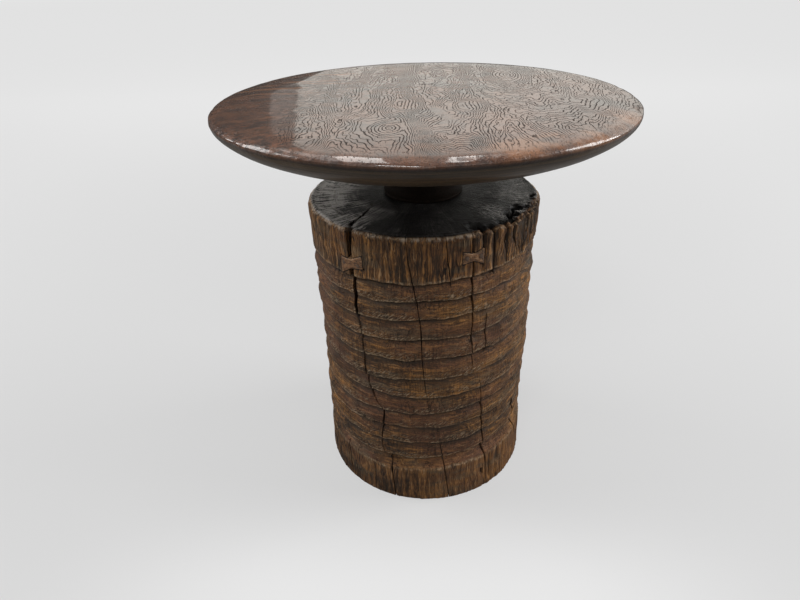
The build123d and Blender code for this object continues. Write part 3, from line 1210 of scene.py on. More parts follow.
@dataclass
class TableTop:
    """The thick turned top: nearly flat, a soft fall to a worn rim, a bowl underneath."""

    height: float = 600.0
    flat: float = 195.0  # radius of the flat centre
    centre: float = 8.0  # radius of the first ring of points
    rim: float = 278.0  # radius of the widest line
    rim_drop: float = 11.5
    crown_drop: float = 6.0
    arris: float = 14.0  # width of the rounding at the rim
    seat_height: float = 512.0  # underside
    land: float = 63.0  # radius of the flat land on the neck
    land_edge: float = 12.0  # last ring of points on it, out from the bore
    bore: float = 19.15
    bore_top: float = 561.0
    columns: int = 300
    flat_rows: int = 20
    fall_rows: int = 15
    rounding_rows: int = 7
    bowl_rows: int = 33
    smooth_to: float = 50.0
    seed: int = 41
    uneven: Wear = Wear(9, 2)
    worn: Wear = Wear(74, 12, 0.75)
    planed: Wear = Wear(26, 9, 0.32)
    facets: Wear = Wear(48, 12, 0.55)
    wear_reach: float = 40.0  # stretch of rim that the wear is drawn over, either way
    finish: LacqueredSwirlWood = field(default_factory=LacqueredSwirlWood)

    def profile(self) -> Array:
        """The profile's (radius, height) points from the centre of the top to the bore.

        Returns:
            Points, one row each.
        """
        inner = np.linspace(self.flat, self.rim - self.arris, self.fall_rows + 1)[1:]
        turns = np.linspace(0.0, pi / 2, self.rounding_rows + 1)[1:]
        rounding = self.rim - self.arris * (1 - np.sin(turns))
        points = [(r, self.height) for r in np.linspace(self.centre, self.flat, self.flat_rows)]
        for radius, turn in zip([*inner, *rounding], [*(0 * inner), *turns]):
            fall = self.crown_drop * ((radius - self.flat) / (self.rim - self.flat)) ** 2
            fall += (self.rim_drop - self.crown_drop) * (1 - cos(turn))
            points.append((radius, self.height - fall))
        low = self.height - self.rim_drop
        bend = (low + self.seat_height) / 2
        for t in np.linspace(0.0, 1.0, self.bowl_rows + 1)[1:]:
            a, b, c = (1 - t) ** 2, 2 * t * (1 - t), t**2
            points.append((self.rim * (a + b) + self.land * c, low * a + bend * b + self.seat_height * c))
        points += [
            (self.bore + self.land_edge, self.seat_height), (self.bore, self.seat_height),
            (self.bore, self.bore_top - 6.0), (self.bore, self.bore_top),
        ]
        return np.array(points)

    def build(self) -> None:
        """Builds the top and dresses it."""
        rng = np.random.default_rng(self.seed)
        path = self.profile()
        radius, turn, height = around(path, self.columns)
        length = np.concatenate([[0.0], np.cumsum(np.hypot(*np.diff(path, axis=0).T))])
        place = np.broadcast_to(length[:, None], radius.shape)
        edge, whole = length[self.flat_rows + self.fall_rows + self.rounding_rows], length[-1]
        outer = ease(radius, self.land + 25.0, self.rim)
        rim = hump(place, edge, 16.0)
        uneven = self.uneven.at(rng, (0.0, whole), turn, place)
        worn = self.worn.at(rng, (edge - self.wear_reach, edge + self.wear_reach), turn, place)
        planed = self.planed.at(rng, (0.0, edge), turn, place)
        facets = self.facets.at(rng, (edge, whole), turn, place)
        facets = facets * ease(height, self.seat_height + 2.0, self.seat_height + 22.0)
        above = place < edge
        radius = radius + outer * uneven + rim * worn + np.where(above, 0.0, facets)
        height = height - np.where(above, np.abs(planed) + rim * np.abs(worn), 0.0)
        marks = {"under": ease(place, edge - 4.0, edge + 2.0), "arris": hump(place, edge - 7.0, 9.0)}
        skin = Skin("table_top_skin", radius, turn, height, (self.height, self.bore_top), marks)
        seat(skin.mesh(self.smooth_to), "table_top", self.finish.paint())


# ---- Neck and dowel ----


@dataclass
class Neck:
    """The short turned neck between the log and the top, bored for the dowel."""

    low: float = 464.0
    high: float = 512.0
    foot: float = 56.5
    foot_edge: float = 5.0
    waist: float = 45.0
    head: float = 59.0
    head_edge: float = 6.0
    bore: float = 19.15
    bore_edge: float = 8.0  # ring of points about the bore on either end
    columns: int = 168
    waist_rows: int = 18
    smooth_to: float = 55.0
    seed: int = 7
    worn: Wear = Wear(22, 6, 0.45)
    out_by: float = 0.3  # the most that wear stands out
    finish: NeckPaintedShadeWood = field(default_factory=NeckPaintedShadeWood)

    def profile(self) -> Array:
        """The profile's (radius, height) points, round from the foot's edge to the bore.

        Returns:
            Points, one row each.
        """
        top, bottom = self.high - self.head_edge, self.low + self.foot_edge
        foot_top, head_low = self.foot - 2.0, self.head - 1.5
        points = [
            (self.foot - 3.0, self.low), (self.foot - 0.8, self.low + 0.2), (self.foot, self.low + 1.2),
            (self.foot, bottom - 1.4), (self.foot - 0.7, bottom - 0.3), (foot_top, bottom),
        ]
        for t in np.linspace(0.0, 1.0, self.waist_rows)[1:-1]:
            wide = foot_top * (1 - t) + head_low * t
            pinch = (wide - self.waist) * sin(pi * t) ** 0.8
            points.append((wide - pinch, bottom + (top - bottom) * t))
        edge = self.bore + self.bore_edge
        points += [
            (head_low, top), (self.head - 0.4, top + 0.5), (self.head, top + 1.6),
            (self.head, self.high - 1.0), (self.head - 1.0, self.high),
            (edge, self.high), (self.bore, self.high), (self.bore, self.low), (edge, self.low),
        ]
        return np.array(points)

    def build(self) -> None:
        """Builds the neck and dresses it."""
        rng = np.random.default_rng(self.seed)
        radius, turn, height = around(self.profile(), self.columns)
        outside = ease(radius, self.bore + 2.0, self.waist - 2.0)
        worn = self.worn.at(rng, (self.low, self.high), turn, height)
        skin = Skin("neck_skin", radius + np.minimum(worn, self.out_by) * outside, turn, height)
        seat(skin.mesh(self.smooth_to), "neck", self.finish.paint())


@dataclass
class CentreDowel:
    """The hidden dowel that joins top, neck and log; its CAD solid stays and gets its wood."""

    node: str = "centre_dowel"
    finish: DowelWood = field(default_factory=DowelWood)

    def build(self) -> None:
        """Gives the solid its wood."""
        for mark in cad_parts[self.node].material_slots:
            mark.material = self.finish.paint()
        log.info("%s: keeps its solid", self.node)


# ---- Log ----


@dataclass(frozen=True)
class Opening:
    """A stretch over which a split's line gapes: from one place down the log to another."""

    start: float
    stop: float
    mouth: float
    depth: float
    lean: float = 0.0  # turn of the root against the mouth at full depth, in degrees
    flare: float = 0.0  # extra mouth at the rim of the end grain, as a share


@dataclass(frozen=True)
class Split:
    """A drying split: its line of (azimuth, place down the log) points and where it gapes."""

    line: tuple[Pair, ...]
    openings: tuple[Opening, ...]


@dataclass(frozen=True)
class Flute:
    """A soft groove down a collar: its azimuth, its stretch, its half-width and its depth."""

    azimuth: float
    start: float
    stop: float
    half: float  # in degrees
    depth: float


@dataclass(frozen=True)
class Hollow:
    """A ragged pit in the log's skin: its middle, its half-axes and its depth."""

    azimuth: float
    down: float  # negative over the end grain
    across: float
    along: float
    deep: float


@dataclass(frozen=True)
class Row:
    """One row of the log's skin: its place on the plain profile and how it moves with the bands."""

    radius: float
    height: float
    out: Pair  # unit normal in (radius, height)
    edge: int  # index of the band edge above it
    share: float  # its place between that edge and the next
    # lip marks pale wear with painted highlight; groove marks painted shade in the notches
    lip: float = 0.0
    groove: float = 0.0
    end: float = 0.0
    sunk: float = 0.0  # depth below the band's crest, as a share of its groove
    corner: float = 0.0  # how near it is to the middle of the shoulder


OUT, UP, IN, DOWN = (1.0, 0.0), (0.0, 1.0), (-1.0, 0.0), (0.0, -1.0)


def column_of(rows: Sequence[Row], name: str) -> Array:
    """One of the rows' values, as a column."""
    return np.array([getattr(row, name) for row in rows])[:, None]


@dataclass
class DrumLog:
    """The base: one log with a plain top collar, ten carved bands, a cove and a base collar."""

    tall: float = 464.0
    collar: float = 64.0
    collar_radius: float = 166.5
    collar_lip: float = 165.0
    shoulder: float = 7.5
    dish: float = 2.2  # end grain's sink inside its raised rim
    bands: tuple[float, ...] = (28.0, 28.5, 32.0, 33.0, 35.0, 31.0, 31.0, 29.5, 31.0, 29.0)
    crest: float = 164.25  # radius of a band at its fullest
    groove: float = 8.6  # groove under a lip, in from the crest
    shallow: float = 0.50  # share of its depth that a groove lacks on the show side
    cove: float = 22.0
    cove_sag: float = 2.5
    base: float = 70.0
    base_radius: float = 167.5
    base_top: float = 165.5
    base_edge: float = 3.0
    base_step: float = 1.8  # base collar's top edge, out from the cove
    neck: float = 57.0  # radius that the neck covers
    bore: float = 19.15
    bore_floor: float = 389.0
    tilt: float = 6.5  # rise of the band edges to the right of the show side
    sweep: float = 4.0  # swell of the band edges at either side of the show side
    front_step: float = 2.3  # width of a column on the show half
    back_step: float = 3.7
    closed: float = 0.16  # half-width of a split's columns where it is shut, in degrees
    smooth_to: float = 44.0
    seed: int = 1907
    finish: WeatheredLog = field(default_factory=WeatheredLog)
    rng: np.random.Generator = field(init=False)

    sag: float = 1.2  # how much lower than drawn all band edges lie
    swells: tuple[Pair, ...] = ((66.0, 92.0), (-64.0, -90.0))  # where they swell up, then down
    foot_share: float = 0.6  # share of the tilt that the base collar's edge has
    waver: tuple[Wear, ...] = (Wear(13, 1, 2.3), Wear(46, 1, 1.5), Wear(150, 1, 0.8))
    round_about: Wear = Wear(7, 4, 1.1)
    facets: Wear = Wear(66, 34, 0.5)
    ridges: Wear = Wear(300, 14, 0.55)
    gullies: Wear = Wear(190, 8, 1.5, 4)
    scallops: Wear = Wear(44, 30, 0.7)
    gouges: Wear = Wear(90, 120, 0.55)
    pitted: Wear = Wear(120, 50, 0.35)
    rays: Wear = Wear(200, 3, 0.35, 5)
    pit_edge: Wear = Wear(150, 160, 0.30)
    rim_worn: Wear = Wear(34, 1)
    rim_fall: float = 0.9  # how far the worn rim falls, and how far that varies
    groove_varies: Wear = Wear(24, 12)
    groove_share: float = 0.30  # share of a groove's depth that varies
    hewn: Wear = Wear(11, 13)
    hewn_by: float = 1.3  # how far a band's girth varies
    finger_fine: Wear = Wear(260, 4)
    finger_rough: Wear = Wear(150, 30)
    finger_gap: float = 4.6  # how deep the channels between the rotted fingers go
    finger_fall: float = 6.5  # and how far the rim is down at them
    rounding: Pair = (3.6, 5.5)  # radius of the shoulder in the middle, and what the sides add
    corner: float = 0.414  # a square corner's reach past a round one, as a share of its radius
    # (share of a band's height, distance in from its crest as a share of its groove, lip, groove)
    section: tuple[tuple[float, float, float, float], ...] = (
        (0.000, 1.00, 0.0, 1.0), (0.030, 0.97, 0.0, 0.9), (0.070, 0.84, 0.0, 1.0),
        (0.130, 0.62, 0.0, 0.8), (0.210, 0.40, 0.0, 0.35), (0.310, 0.20, 0.0, 0.1),
        (0.420, 0.07, 0.0, 0.0), (0.540, 0.00, 0.0, 0.0), (0.660, 0.00, 0.0, 0.0),
        (0.770, 0.06, 0.0, 0.0), (0.860, 0.12, 0.0, 0.2), (0.910, 0.14, 0.3, 0.1),
        (0.950, 0.10, 1.0, 0.0), (0.982, 0.28, 0.9, 0.3),
    )
    splits: tuple[Split, ...] = (
        Split(((-118.0, 0.0), (-119.5, 104.0)), (Opening(-22.0, 104.0, 2.8, 22.0),)),
        Split(((-98.0, 274.0), (-97.0, 464.0)), (Opening(274.0, 478.0, 3.2, 20.0),)),
        Split(((-49.3, 392.0), (-48.4, 424.0), (-47.0, 464.0)), (Opening(388.0, 476.0, 2.6, 16.0),)),
        Split(
            (
                (-51.0, -79.0), (-42.4, -47.0), (-38.4, -13.0), (-34.8, 4.0), (-35.4, 30.0),
                (-34.8, 57.0), (-34.2, 90.0), (-33.5, 121.0), (-31.7, 161.0), (-31.3, 171.0),
                (-30.6, 223.0), (-28.4, 254.0), (-22.5, 280.0), (-21.3, 292.0), (-23.9, 343.0),
                (-22.6, 374.0),
            ),
            (Opening(-79.0, 168.0, 7.0, 88.0, -9.0, 0.75), Opening(126.0, 378.0, 3.1, 24.0)),
        ),
        Split(((-18.9, 378.0), (-17.8, 420.0), (-16.4, 464.0)), (Opening(376.0, 480.0, 2.4, 18.0),)),
        Split(
            (
                (-7.7, 0.0), (-6.7, 33.0), (-4.7, 65.0), (-2.7, 105.0), (-1.4, 137.0),
                (-1.0, 186.0), (-0.1, 221.0), (1.3, 249.0), (2.3, 278.0),
            ),
            (Opening(-40.0, 282.0, 1.7, 22.0),),
        ),
        Split(
            (
                (9.5, 0.0), (10.6, 34.0), (12.2, 66.0), (9.0, 200.0), (7.7, 337.0),
                (10.4, 386.0), (13.4, 464.0),
            ),
            (Opening(-14.0, 70.0, 1.4, 12.0), Opening(334.0, 476.0, 1.9, 14.0)),
        ),
        Split(
            (
                (21.4, 0.0), (22.9, 52.0), (22.3, 71.0), (22.8, 97.0), (23.8, 122.0),
                (23.4, 162.0), (24.8, 216.0), (28.8, 238.0), (30.2, 259.0), (31.8, 299.0),
                (33.3, 362.0), (36.0, 413.0), (36.5, 464.0),
            ),
            (Opening(-34.0, 220.0, 3.1, 40.0), Opening(236.0, 480.0, 3.2, 24.0)),
        ),
        Split(
            (
                (27.0, 0.0), (27.6, 16.0), (27.8, 100.0), (28.2, 185.0), (31.4, 240.0),
                (34.6, 300.0), (39.0, 464.0),
            ),
            (Opening(-20.0, 22.0, 4.5, 12.0),),
        ),
        Split(
            (
                (33.2, 0.0), (33.4, 19.0), (33.9, 51.0), (33.7, 66.0), (31.6, 134.0),
                (31.0, 160.0), (31.6, 185.0), (35.0, 240.0), (38.0, 300.0), (43.0, 464.0),
            ),
            (Opening(-10.0, 67.0, 3.2, 11.0), Opening(130.0, 190.0, 2.6, 7.0)),
        ),
        Split(
            ((42.0, -10.0), (41.3, 0.0), (40.0, 12.0), (39.2, 24.0), (41.3, 42.0), (47.0, 464.0)),
            (Opening(-12.0, 46.0, 4.6, 10.0),),
        ),
        Split(
            ((45.8, -10.0), (45.3, 4.0), (45.2, 22.0), (48.7, 50.0), (51.0, 464.0)),
            (Opening(-9.0, 62.0, 3.4, 8.0),),
        ),
        Split(
            ((58.0, 0.0), (60.0, 336.0), (62.0, 372.0), (66.0, 410.0)),
            (Opening(330.0, 414.0, 3.6, 12.0),),
        ),
        Split(((112.0, 0.0), (115.0, 259.0)), (Opening(-34.0, 262.0, 3.4, 34.0),)),
        Split(((152.0, 314.0), (153.0, 464.0)), (Opening(312.0, 478.0, 3.0, 20.0),)),
        Split(((171.0, 0.0), (173.0, 174.0)), (Opening(-24.0, 176.0, 2.6, 24.0),)),
    )
    flutes: tuple[Flute, ...] = (
        Flute(51.2, 4.0, 62.0, 0.9, 2.8),
        Flute(54.6, 2.0, 60.0, 0.9, 2.6),
        Flute(44.0, 398.0, 458.0, 1.1, 2.8),
        Flute(51.0, 396.0, 430.0, 1.2, 2.4),
        Flute(-37.0, 402.0, 470.0, 1.0, 1.4),
        Flute(49.0, 404.0, 460.0, 1.2, 2.2),
        Flute(-52.0, 0.0, 60.0, 1.2, 1.3),
        Flute(-20.0, 0.0, 50.0, 1.0, 1.0),
        Flute(2.0, 4.0, 62.0, 0.9, 1.0),
    )
    # where each finger of the rotted rim starts, and how far it is broken down
    fingers: tuple[Pair, ...] = (
        (21.9, 1.0), (27.5, 3.0), (33.4, 1.0), (41.0, 3.0), (45.3, 5.0), (48.8, 2.0),
        (53.0, 1.0), (57.8, 4.0), (61.6, 2.5), (66.5, 4.0), (71.0, 1.5), (77.0, 0.0),
    )
    hollows: tuple[Hollow, ...] = (
        Hollow(27.4, -20.0, 11.0, 14.0, 20.0),
        Hollow(33.6, -14.0, 5.0, 8.0, 12.0),
        Hollow(40.6, -13.0, 6.0, 8.0, 13.0),
        Hollow(47.0, -12.0, 8.0, 9.0, 15.0),
        Hollow(53.0, -24.0, 12.0, 12.0, 20.0),
        Hollow(61.5, -25.0, 11.0, 10.0, 16.0),
        Hollow(66.0, -13.0, 6.0, 7.0, 12.0),
        Hollow(81.0, -11.0, 6.0, 5.0, 9.0),
        Hollow(57.2, 4.0, 2.6, 5.0, 6.0),
        Hollow(56.4, 17.0, 2.6, 4.6, 6.0),
        Hollow(61.5, 14.0, 3.0, 5.5, 6.0),
        Hollow(57.0, 30.0, 2.6, 5.0, 5.0),
        Hollow(64.0, 43.0, 3.2, 5.0, 6.0),
        Hollow(33.6, 428.0, 3.2, 6.0, 7.0),
        Hollow(-28.8, 50.0, 4.6, 3.2, 4.0),
        Hollow(-33.8, 310.0, 4.0, 4.0, 4.0),
        Hollow(65.5, 280.0, 4.2, 7.0, 5.0),
        Hollow(128.0, 30.0, 3.4, 7.0, 5.0),
        Hollow(-140.0, 250.0, 4.4, 5.0, 4.0),
    )

    def __post_init__(self) -> None:
        """Starts its random numbers."""
        self.rng = np.random.default_rng(self.seed)

    # Plain profile

    def end_rows(self) -> list[Row]:
        """Rows over the bore and the dished end grain, up a raised rim and over its shoulder.

        Returns:
            The rows in order.
        """
        rows = [
            Row(self.bore, self.bore_floor, IN, 0, 0.0),
            Row(self.bore, self.tall - 1.0, IN, 0, 0.0, end=1.0),
            Row(self.bore + 0.6, self.tall, UP, 0, 0.0, end=1.0),
            Row(self.neck * 0.7, self.tall, UP, 0, 0.0, end=1.0),
        ]
        rim = self.collar_radius - self.shoulder
        inner = np.linspace(self.neck - 2.0, rim, 44)
        dish = self.dish * ease(inner, self.neck + 4.0, self.neck + 40.0) * ease(inner, rim, rim - 5.0)
        rows += [Row(r, self.tall - sink, UP, 0, 0.0, end=1.0) for r, sink in zip(inner, dish)]
        for turn in np.linspace(0.0, pi / 2, 9)[1:]:
            fall = self.shoulder * (1 - cos(turn))
            rows.append(
                Row(
                    rim + self.shoulder * sin(turn), self.tall - fall, (sin(turn), cos(turn)), 0,
                    fall / self.collar, lip=1.2 * hump(turn, 0.66, 0.20), end=ease(turn, 0.70, 0.30),
                    corner=sin(2 * turn),
                )
            )
        return rows

    def collar_rows(self) -> list[Row]:
        """Rows down the top collar to its lower lip.

        Returns:
            The rows in order.
        """
        rows = []
        lip, under = 0.955, 0.988
        for share in np.linspace(self.shoulder / self.collar, lip, 20)[1:]:
            radius = self.collar_radius + (self.collar_lip - self.collar_radius) * share
            radius += 0.5 * hump(share, lip, 0.04)
            height = self.tall - self.collar * share
            rows.append(Row(radius, height, OUT, 0, share, ease(share, 0.92, 0.95)))
        rows.append(Row(self.collar_lip - 0.6, self.tall - self.collar * under, OUT, 0, under, 0.3))
        return rows

    def band_rows(self) -> list[Row]:
        """Rows down the ten bands: a deep notch, a full round body, a thin lip over the next notch.

        Returns:
            The rows in order.
        """
        rows = []
        top = self.tall - self.collar
        for edge, band in enumerate(self.bands, start=1):
            for share, sunk, lip, groove in self.section:
                radius, height = self.crest - sunk * self.groove, top - band * share
                rows.append(Row(radius, height, OUT, edge, share, lip, groove, sunk=sunk))
            top -= band
        return rows

    def foot_rows(self) -> list[Row]:
        """Rows down the cove and the base collar and in under the base.

        Returns:
            The rows in order.
        """
        rows = []
        last = len(self.bands) + 1
        start, stop = self.crest - self.groove, self.base_top - self.base_step
        for share in np.linspace(0.0, 1.0, 8):
            radius = start + (stop - start) * share - self.cove_sag * sin(pi * share)
            height = self.base + self.cove * (1 - share)
            rows.append(Row(radius, height, OUT, last, share, groove=ease(share, 0.35, 0.0)))
        for share in np.linspace(0.0, 1.0, 20)[1:]:
            height = self.base - (self.base - self.base_edge) * share
            radius = self.base_top + (self.base_radius - self.base_top) * share
            place = 1 - height / self.base
            rows.append(Row(radius, height, OUT, last + 1, place, ease(share, 0.13, 0.04)))
        for turn in (0.6, 1.1, pi / 2):
            radius = self.base_radius - self.base_edge * (1 - cos(turn))
            height = self.base_edge * (1 - sin(turn))
            rows.append(Row(radius, height, (cos(turn), -sin(turn)), last + 1, 1.0))
        under = (161.0, 156.0, 150.0, 140.0, 120.0, 60.0)
        return rows + [Row(radius, 0.0, DOWN, last + 1, 1.0, end=0.6) for radius in under]

    # Columns

    def place_down(self, rows: Sequence[Row]) -> Array:
        """Each row's place down the log, negative over the end grain and past the floor beneath.

        Args:
            rows: The rows in order.

        Returns:
            The places, which never fall.
        """
        places = []
        for row in rows:
            if row.out[1] > 0.99:
                places.append(row.radius - self.collar_radius)
            elif row.out[1] < -0.99:
                places.append(self.tall + self.collar_radius - row.radius)
            elif row.out[0] < 0:
                places.append(-self.collar_radius)
            else:
                places.append(self.tall - row.height)
        return np.maximum.accumulate(np.array(places))

    def wall(self, down: float) -> Pair:
        """The plain (radius, height) at a place down the log.

        Args:
            down: The place.

        Returns:
            The radius and the height.
        """
        if down < 0:
            return self.collar_radius + down, self.tall
        if down > self.tall:
            return self.collar_radius - (down - self.tall), 0.0
        return self.collar_lip, self.tall - down

    def root(self, opening: Opening, down: Array) -> Array:
        """The root of a gaping split: a curve inside the log from one end to the other.

        Args:
            opening: The stretch.
            down: Places down the log.

        Returns:
            The root's radii and its heights, one row each.
        """
        first, last = self.wall(opening.start), self.wall(opening.stop)
        t = np.clip((down - opening.start) / (opening.stop - opening.start), 0.0, 1.0)
        inner = self.collar_radius - opening.depth * 1.15
        if opening.start < 0:
            pull = (inner, self.tall - 0.3 * opening.stop)
        elif opening.stop > self.tall:
            pull = (inner, 0.3 * (self.tall - opening.start))
        else:
            pull = (self.collar_radius - 2 * opening.depth, (first[1] + last[1]) / 2)
        return np.outer(first, (1 - t) ** 2) + np.outer(pull, 2 * t * (1 - t)) + np.outer(last, t**2)

    def gaping(self, split: Split, down: Array, radius: Array) -> tuple[Array, ...]:
        """How a split gapes at each row.

        Args:
            split: The split.
            down: Each row's place down the log.
            radius: Each row's plain radius.

        Returns:
            Half its columns' width in degrees, the root's radius and height, its lean in
            degrees, and whether it gapes there.
        """
        near = np.maximum(radius, self.neck)
        half = np.full(len(down), self.closed)
        root = np.stack([radius, np.zeros(len(down))])
        lean, gape = np.zeros(len(down)), np.zeros(len(down))
        ragged = np.interp(down, np.linspace(-170, 640, 120), self.rng.uniform(0.72, 1.22, 120))
        for opening in split.openings:
            inside = (down > opening.start) & (down < opening.stop)
            t = np.clip((down - opening.start) / (opening.stop - opening.start), 0, 1)
            open_by = np.sqrt(np.clip(np.sin(pi * t), 0, 1)) * ragged
            open_by = open_by * (1 + opening.flare * hump(down, 2.0, 26.0))
            width = np.degrees(opening.mouth * open_by / 2 / near)
            half = np.where(inside, np.maximum(half, width), half)
            root = np.where(inside, self.root(opening, down), root)
            lean = np.where(inside, opening.lean, lean)
            gape = np.where(inside, 1.0, gape)
        return half, *root, lean, gape

    def columns(self, down: Array, radius: Array) -> tuple[Array, ...]:
        """Lays the columns out so that each split has its own edge, wall and root columns.

        Args:
            down: Each row's place down the log.
            radius: Each row's plain radius.

        Returns:
            Arrays, rows by columns: azimuth, sink (share of the way to the root), and the
            root's radius and height.
        """
        lines = [np.interp(down, *np.array(split.line).T[::-1]) for split in self.splits]
        gaps = [self.gaping(split, down, radius) for split in self.splits]
        flat = np.zeros(len(down))
        laid = []
        for k, (line, (half, root_radius, root_height, lean, gape)) in enumerate(zip(lines, gaps)):
            for side, sink in ((-1.0, 0.0), (-0.85, 0.22), (0.0, 1.0), (0.85, 0.22), (1.0, 0.0)):
                azimuth = line + side * half + sink * lean
                laid.append((azimuth, sink * gape, root_radius, root_height))
            after = (k + 1) % len(lines)
            start = line + half
            stop = lines[after] - gaps[after][0] + (360.0 if after == 0 else 0.0)
            on_show = cos(np.radians((start + stop).mean() / 2)) > 0.05
            step = self.front_step if on_show else self.back_step
            spare = max(1, round(np.radians((stop - start).mean()) * self.collar_radius / step) - 1)
            for index in range(1, spare + 1):
                laid.append((start + (stop - start) * index / (spare + 1), flat, radius, flat))
        return tuple(np.stack(stack, axis=1) for stack in zip(*laid))

    # Hand work and weather

    def band_shifts(self, azimuth: Array) -> Array:
        """How far each edge rises and falls round the log: the end grain's, each band's, the foot's.

        Args:
            azimuth: Azimuths, rows by columns.

        Returns:
            Shifts, edges by rows by columns.
        """
        still = np.zeros_like(azimuth)
        turned = np.mod(azimuth + 180.0, 360.0) - 180.0
        tilted = self.tilt * np.sin(np.radians(azimuth)) - self.sag
        for middle, outer in self.swells:
            tilted = tilted + self.sweep * (hump(turned, middle, 15.0) - 0.6 * hump(turned, outer, 13.0))
        shifts = [still]
        for share in (*[1.0] * (len(self.bands) + 1), self.foot_share):
            uneven = share * tilted
            for layer in self.waver:
                uneven = uneven + layer.at(self.rng, (0.0, 1.0), azimuth, still)
            shifts.append(uneven)
        return np.stack([*shifts, still])

    def rot(self, azimuth: Array, down: Array) -> tuple[Array, Array, Array]:
        """The rotted stretch of the rim: rounded fingers of uneven height with channels between.

        Args:
            azimuth: Azimuths, rows by columns.
            down: Places down the log.

        Returns:
            How far the wall is worn in, how far the rim is broken down and how much of the
            black end grain has gone.
        """
        starts, tops = np.array(self.fingers).T
        rotted = (azimuth > starts[0]) & (azimuth < starts[-1])
        which = np.clip(np.searchsorted(starts, azimuth) - 1, 0, len(starts) - 2)
        along = (azimuth - starts[which]) / (starts[which + 1] - starts[which])
        arch = np.abs(2 * along - 1) ** 2.6 * rotted
        fine = self.finger_fine.at(self.rng, (0.0, 90.0), azimuth + down * 0.02, down)
        ragged = self.finger_rough.at(self.rng, (-60.0, 60.0), azimuth, down)
        reach = (0.40 + 0.60 * ease(down, 46.0, 4.0)) * ease(down, 72.0, 58.0)
        worn = self.finger_gap * arch + 0.9 * np.abs(fine) * rotted
        worn = reach * ease(down, -14.0, -4.0) * worn
        broken = tops[which] + self.finger_fall * arch + 1.6 * ragged
        broken = rotted * hump(down, -3.0, 8.0) * broken
        return worn, broken, rotted * ease(down, -13.0, -7.0)

    def dug(self, azimuth: Array, down: Array) -> tuple[Array, Array]:
        """The ragged pits.

        Args:
            azimuth: Azimuths, rows by columns.
            down: Places down the log.

        Returns:
            How deep they go at each point, and how dark painted shade makes them there, from 0 to 1.
        """
        deep, dark = np.zeros_like(azimuth), np.zeros_like(azimuth)
        rough = self.pit_edge.at(self.rng, (-120.0, self.tall), azimuth, down)
        degree = np.radians(1.0) * (self.collar_radius + np.minimum(down, 0.0))
        for hollow in self.hollows:
            across = (azimuth - hollow.azimuth) * degree / hollow.across
            far = np.hypot(across, (down - hollow.down) / hollow.along) + rough
            deep = np.maximum(deep, hollow.deep * ease(far, 1.0, 0.45))
            dark = np.maximum(dark, ease(far, 1.06, 0.72))
        return deep, dark

    def relief(self, azimuth: Array, down: Array, rows: Sequence[Row]) -> Array:
        """Hand and weather on the sound wall, as a distance out along the normal.

        Args:
            azimuth: Azimuths, rows by columns.
            down: Places down the log.
            rows: The rows.

        Returns:
            Distances, rows by columns.
        """
        edge = column_of(rows, "edge")
        is_band = (edge >= 1) & (edge <= len(self.bands) + 1)
        side = column_of(rows, "out")[:, 0, :1] > 0.5
        whole, end = (0.0, self.tall), (-120.0, 0.0)
        on_wall = (self.round_about, self.facets, self.ridges, self.gullies, self.scallops, self.gouges)
        round_about, facets, ridges, gullies, scallops, gouges = (
            layer.at(self.rng, whole, azimuth, down) for layer in on_wall
        )
        pitted, rays = (layer.at(self.rng, end, azimuth, down) for layer in (self.pitted, self.rays))
        collar = (ridges - gullies) * np.where(is_band, 0.35, 1.0)
        collar = collar * (1 - 0.75 * hump(down, self.collar - 3.0, 8.0))
        wall = round_about * ease(down, 0.0, 24.0) + facets + collar + (scallops + gouges) * is_band
        wall = np.where(side, wall, 0.0)
        for flute in self.flutes:
            stretch = ease(down, flute.start - 6, flute.start + 8)
            stretch = stretch * ease(down, flute.stop + 6, flute.stop - 12)
            open_out = 1 + 0.8 * ease(down, 18.0, 0.0)
            line = hump(azimuth + down * 0.012, flute.azimuth, flute.half * open_out)
            wall = wall - flute.depth * open_out * stretch * line * ease(down, -30.0, -6.0)
        return wall + (pitted - rays) * column_of(rows, "end") * ease(down, -112.0, -80.0)

    def skin(self) -> Skin:
        """Lays out the log's skin.

        Returns:
            The skin, with its marks for the finish.
        """
        rows = self.end_rows() + self.collar_rows() + self.band_rows() + self.foot_rows()
        down_of = self.place_down(rows)
        plain, edge, share = (column_of(rows, name) for name in ("radius", "edge", "share"))
        azimuth, sink, root_radius, root_height = self.columns(down_of, plain[:, 0])
        down = np.broadcast_to(down_of[:, None], azimuth.shape)
        out = column_of(rows, "out")[:, 0]
        last = len(self.bands)
        banded = (edge >= 1) & (edge <= last)
        shifts = self.band_shifts(azimuth)
        index = np.arange(len(rows))
        here, below = edge[:, 0], np.minimum(edge[:, 0] + 1, len(shifts) - 1)
        rise = shifts[here, index] * (1 - share) + shifts[below, index] * share
        push = self.relief(azimuth, down, rows)
        sunk = column_of(rows, "sunk") * self.groove
        varied = self.groove_varies.at(self.rng, (0.0, self.tall), azimuth, down)
        push = push - sunk * self.groove_share * varied
        push = push + sunk * self.shallow * ease(np.abs(azimuth), 62.0, 44.0)
        which = np.broadcast_to(edge.astype(float), azimuth.shape)
        push = push + banded * self.hewn_by * self.hewn.at(self.rng, (0.0, 13.0), azimuth, which)
        corner = column_of(rows, "corner")
        round_off = self.rounding[0] + self.rounding[1] * ease(np.abs(azimuth), 26.0, 62.0)
        push = push + self.corner * (self.shoulder - round_off) * corner
        deep, dark = self.dug(azimuth, down)
        push = push - deep
        worn, broken, bared = self.rot(azimuth, down)
        radius = plain + out[:, :1] * push - worn
        height = column_of(rows, "height") + rise + out[:, 1:] * push - broken
        uneven = self.rim_worn.at(self.rng, (0.0, 1.0), azimuth, np.zeros_like(azimuth))
        height = height - hump(down, 0.0, 9.0) * (self.rim_fall + self.rim_fall * uneven)
        height = np.where(out[:, 1:] < -0.5, 0.0, np.maximum(height, 0.0))
        radius = radius + (root_radius - radius) * sink
        height = height + (root_height - height) * sink
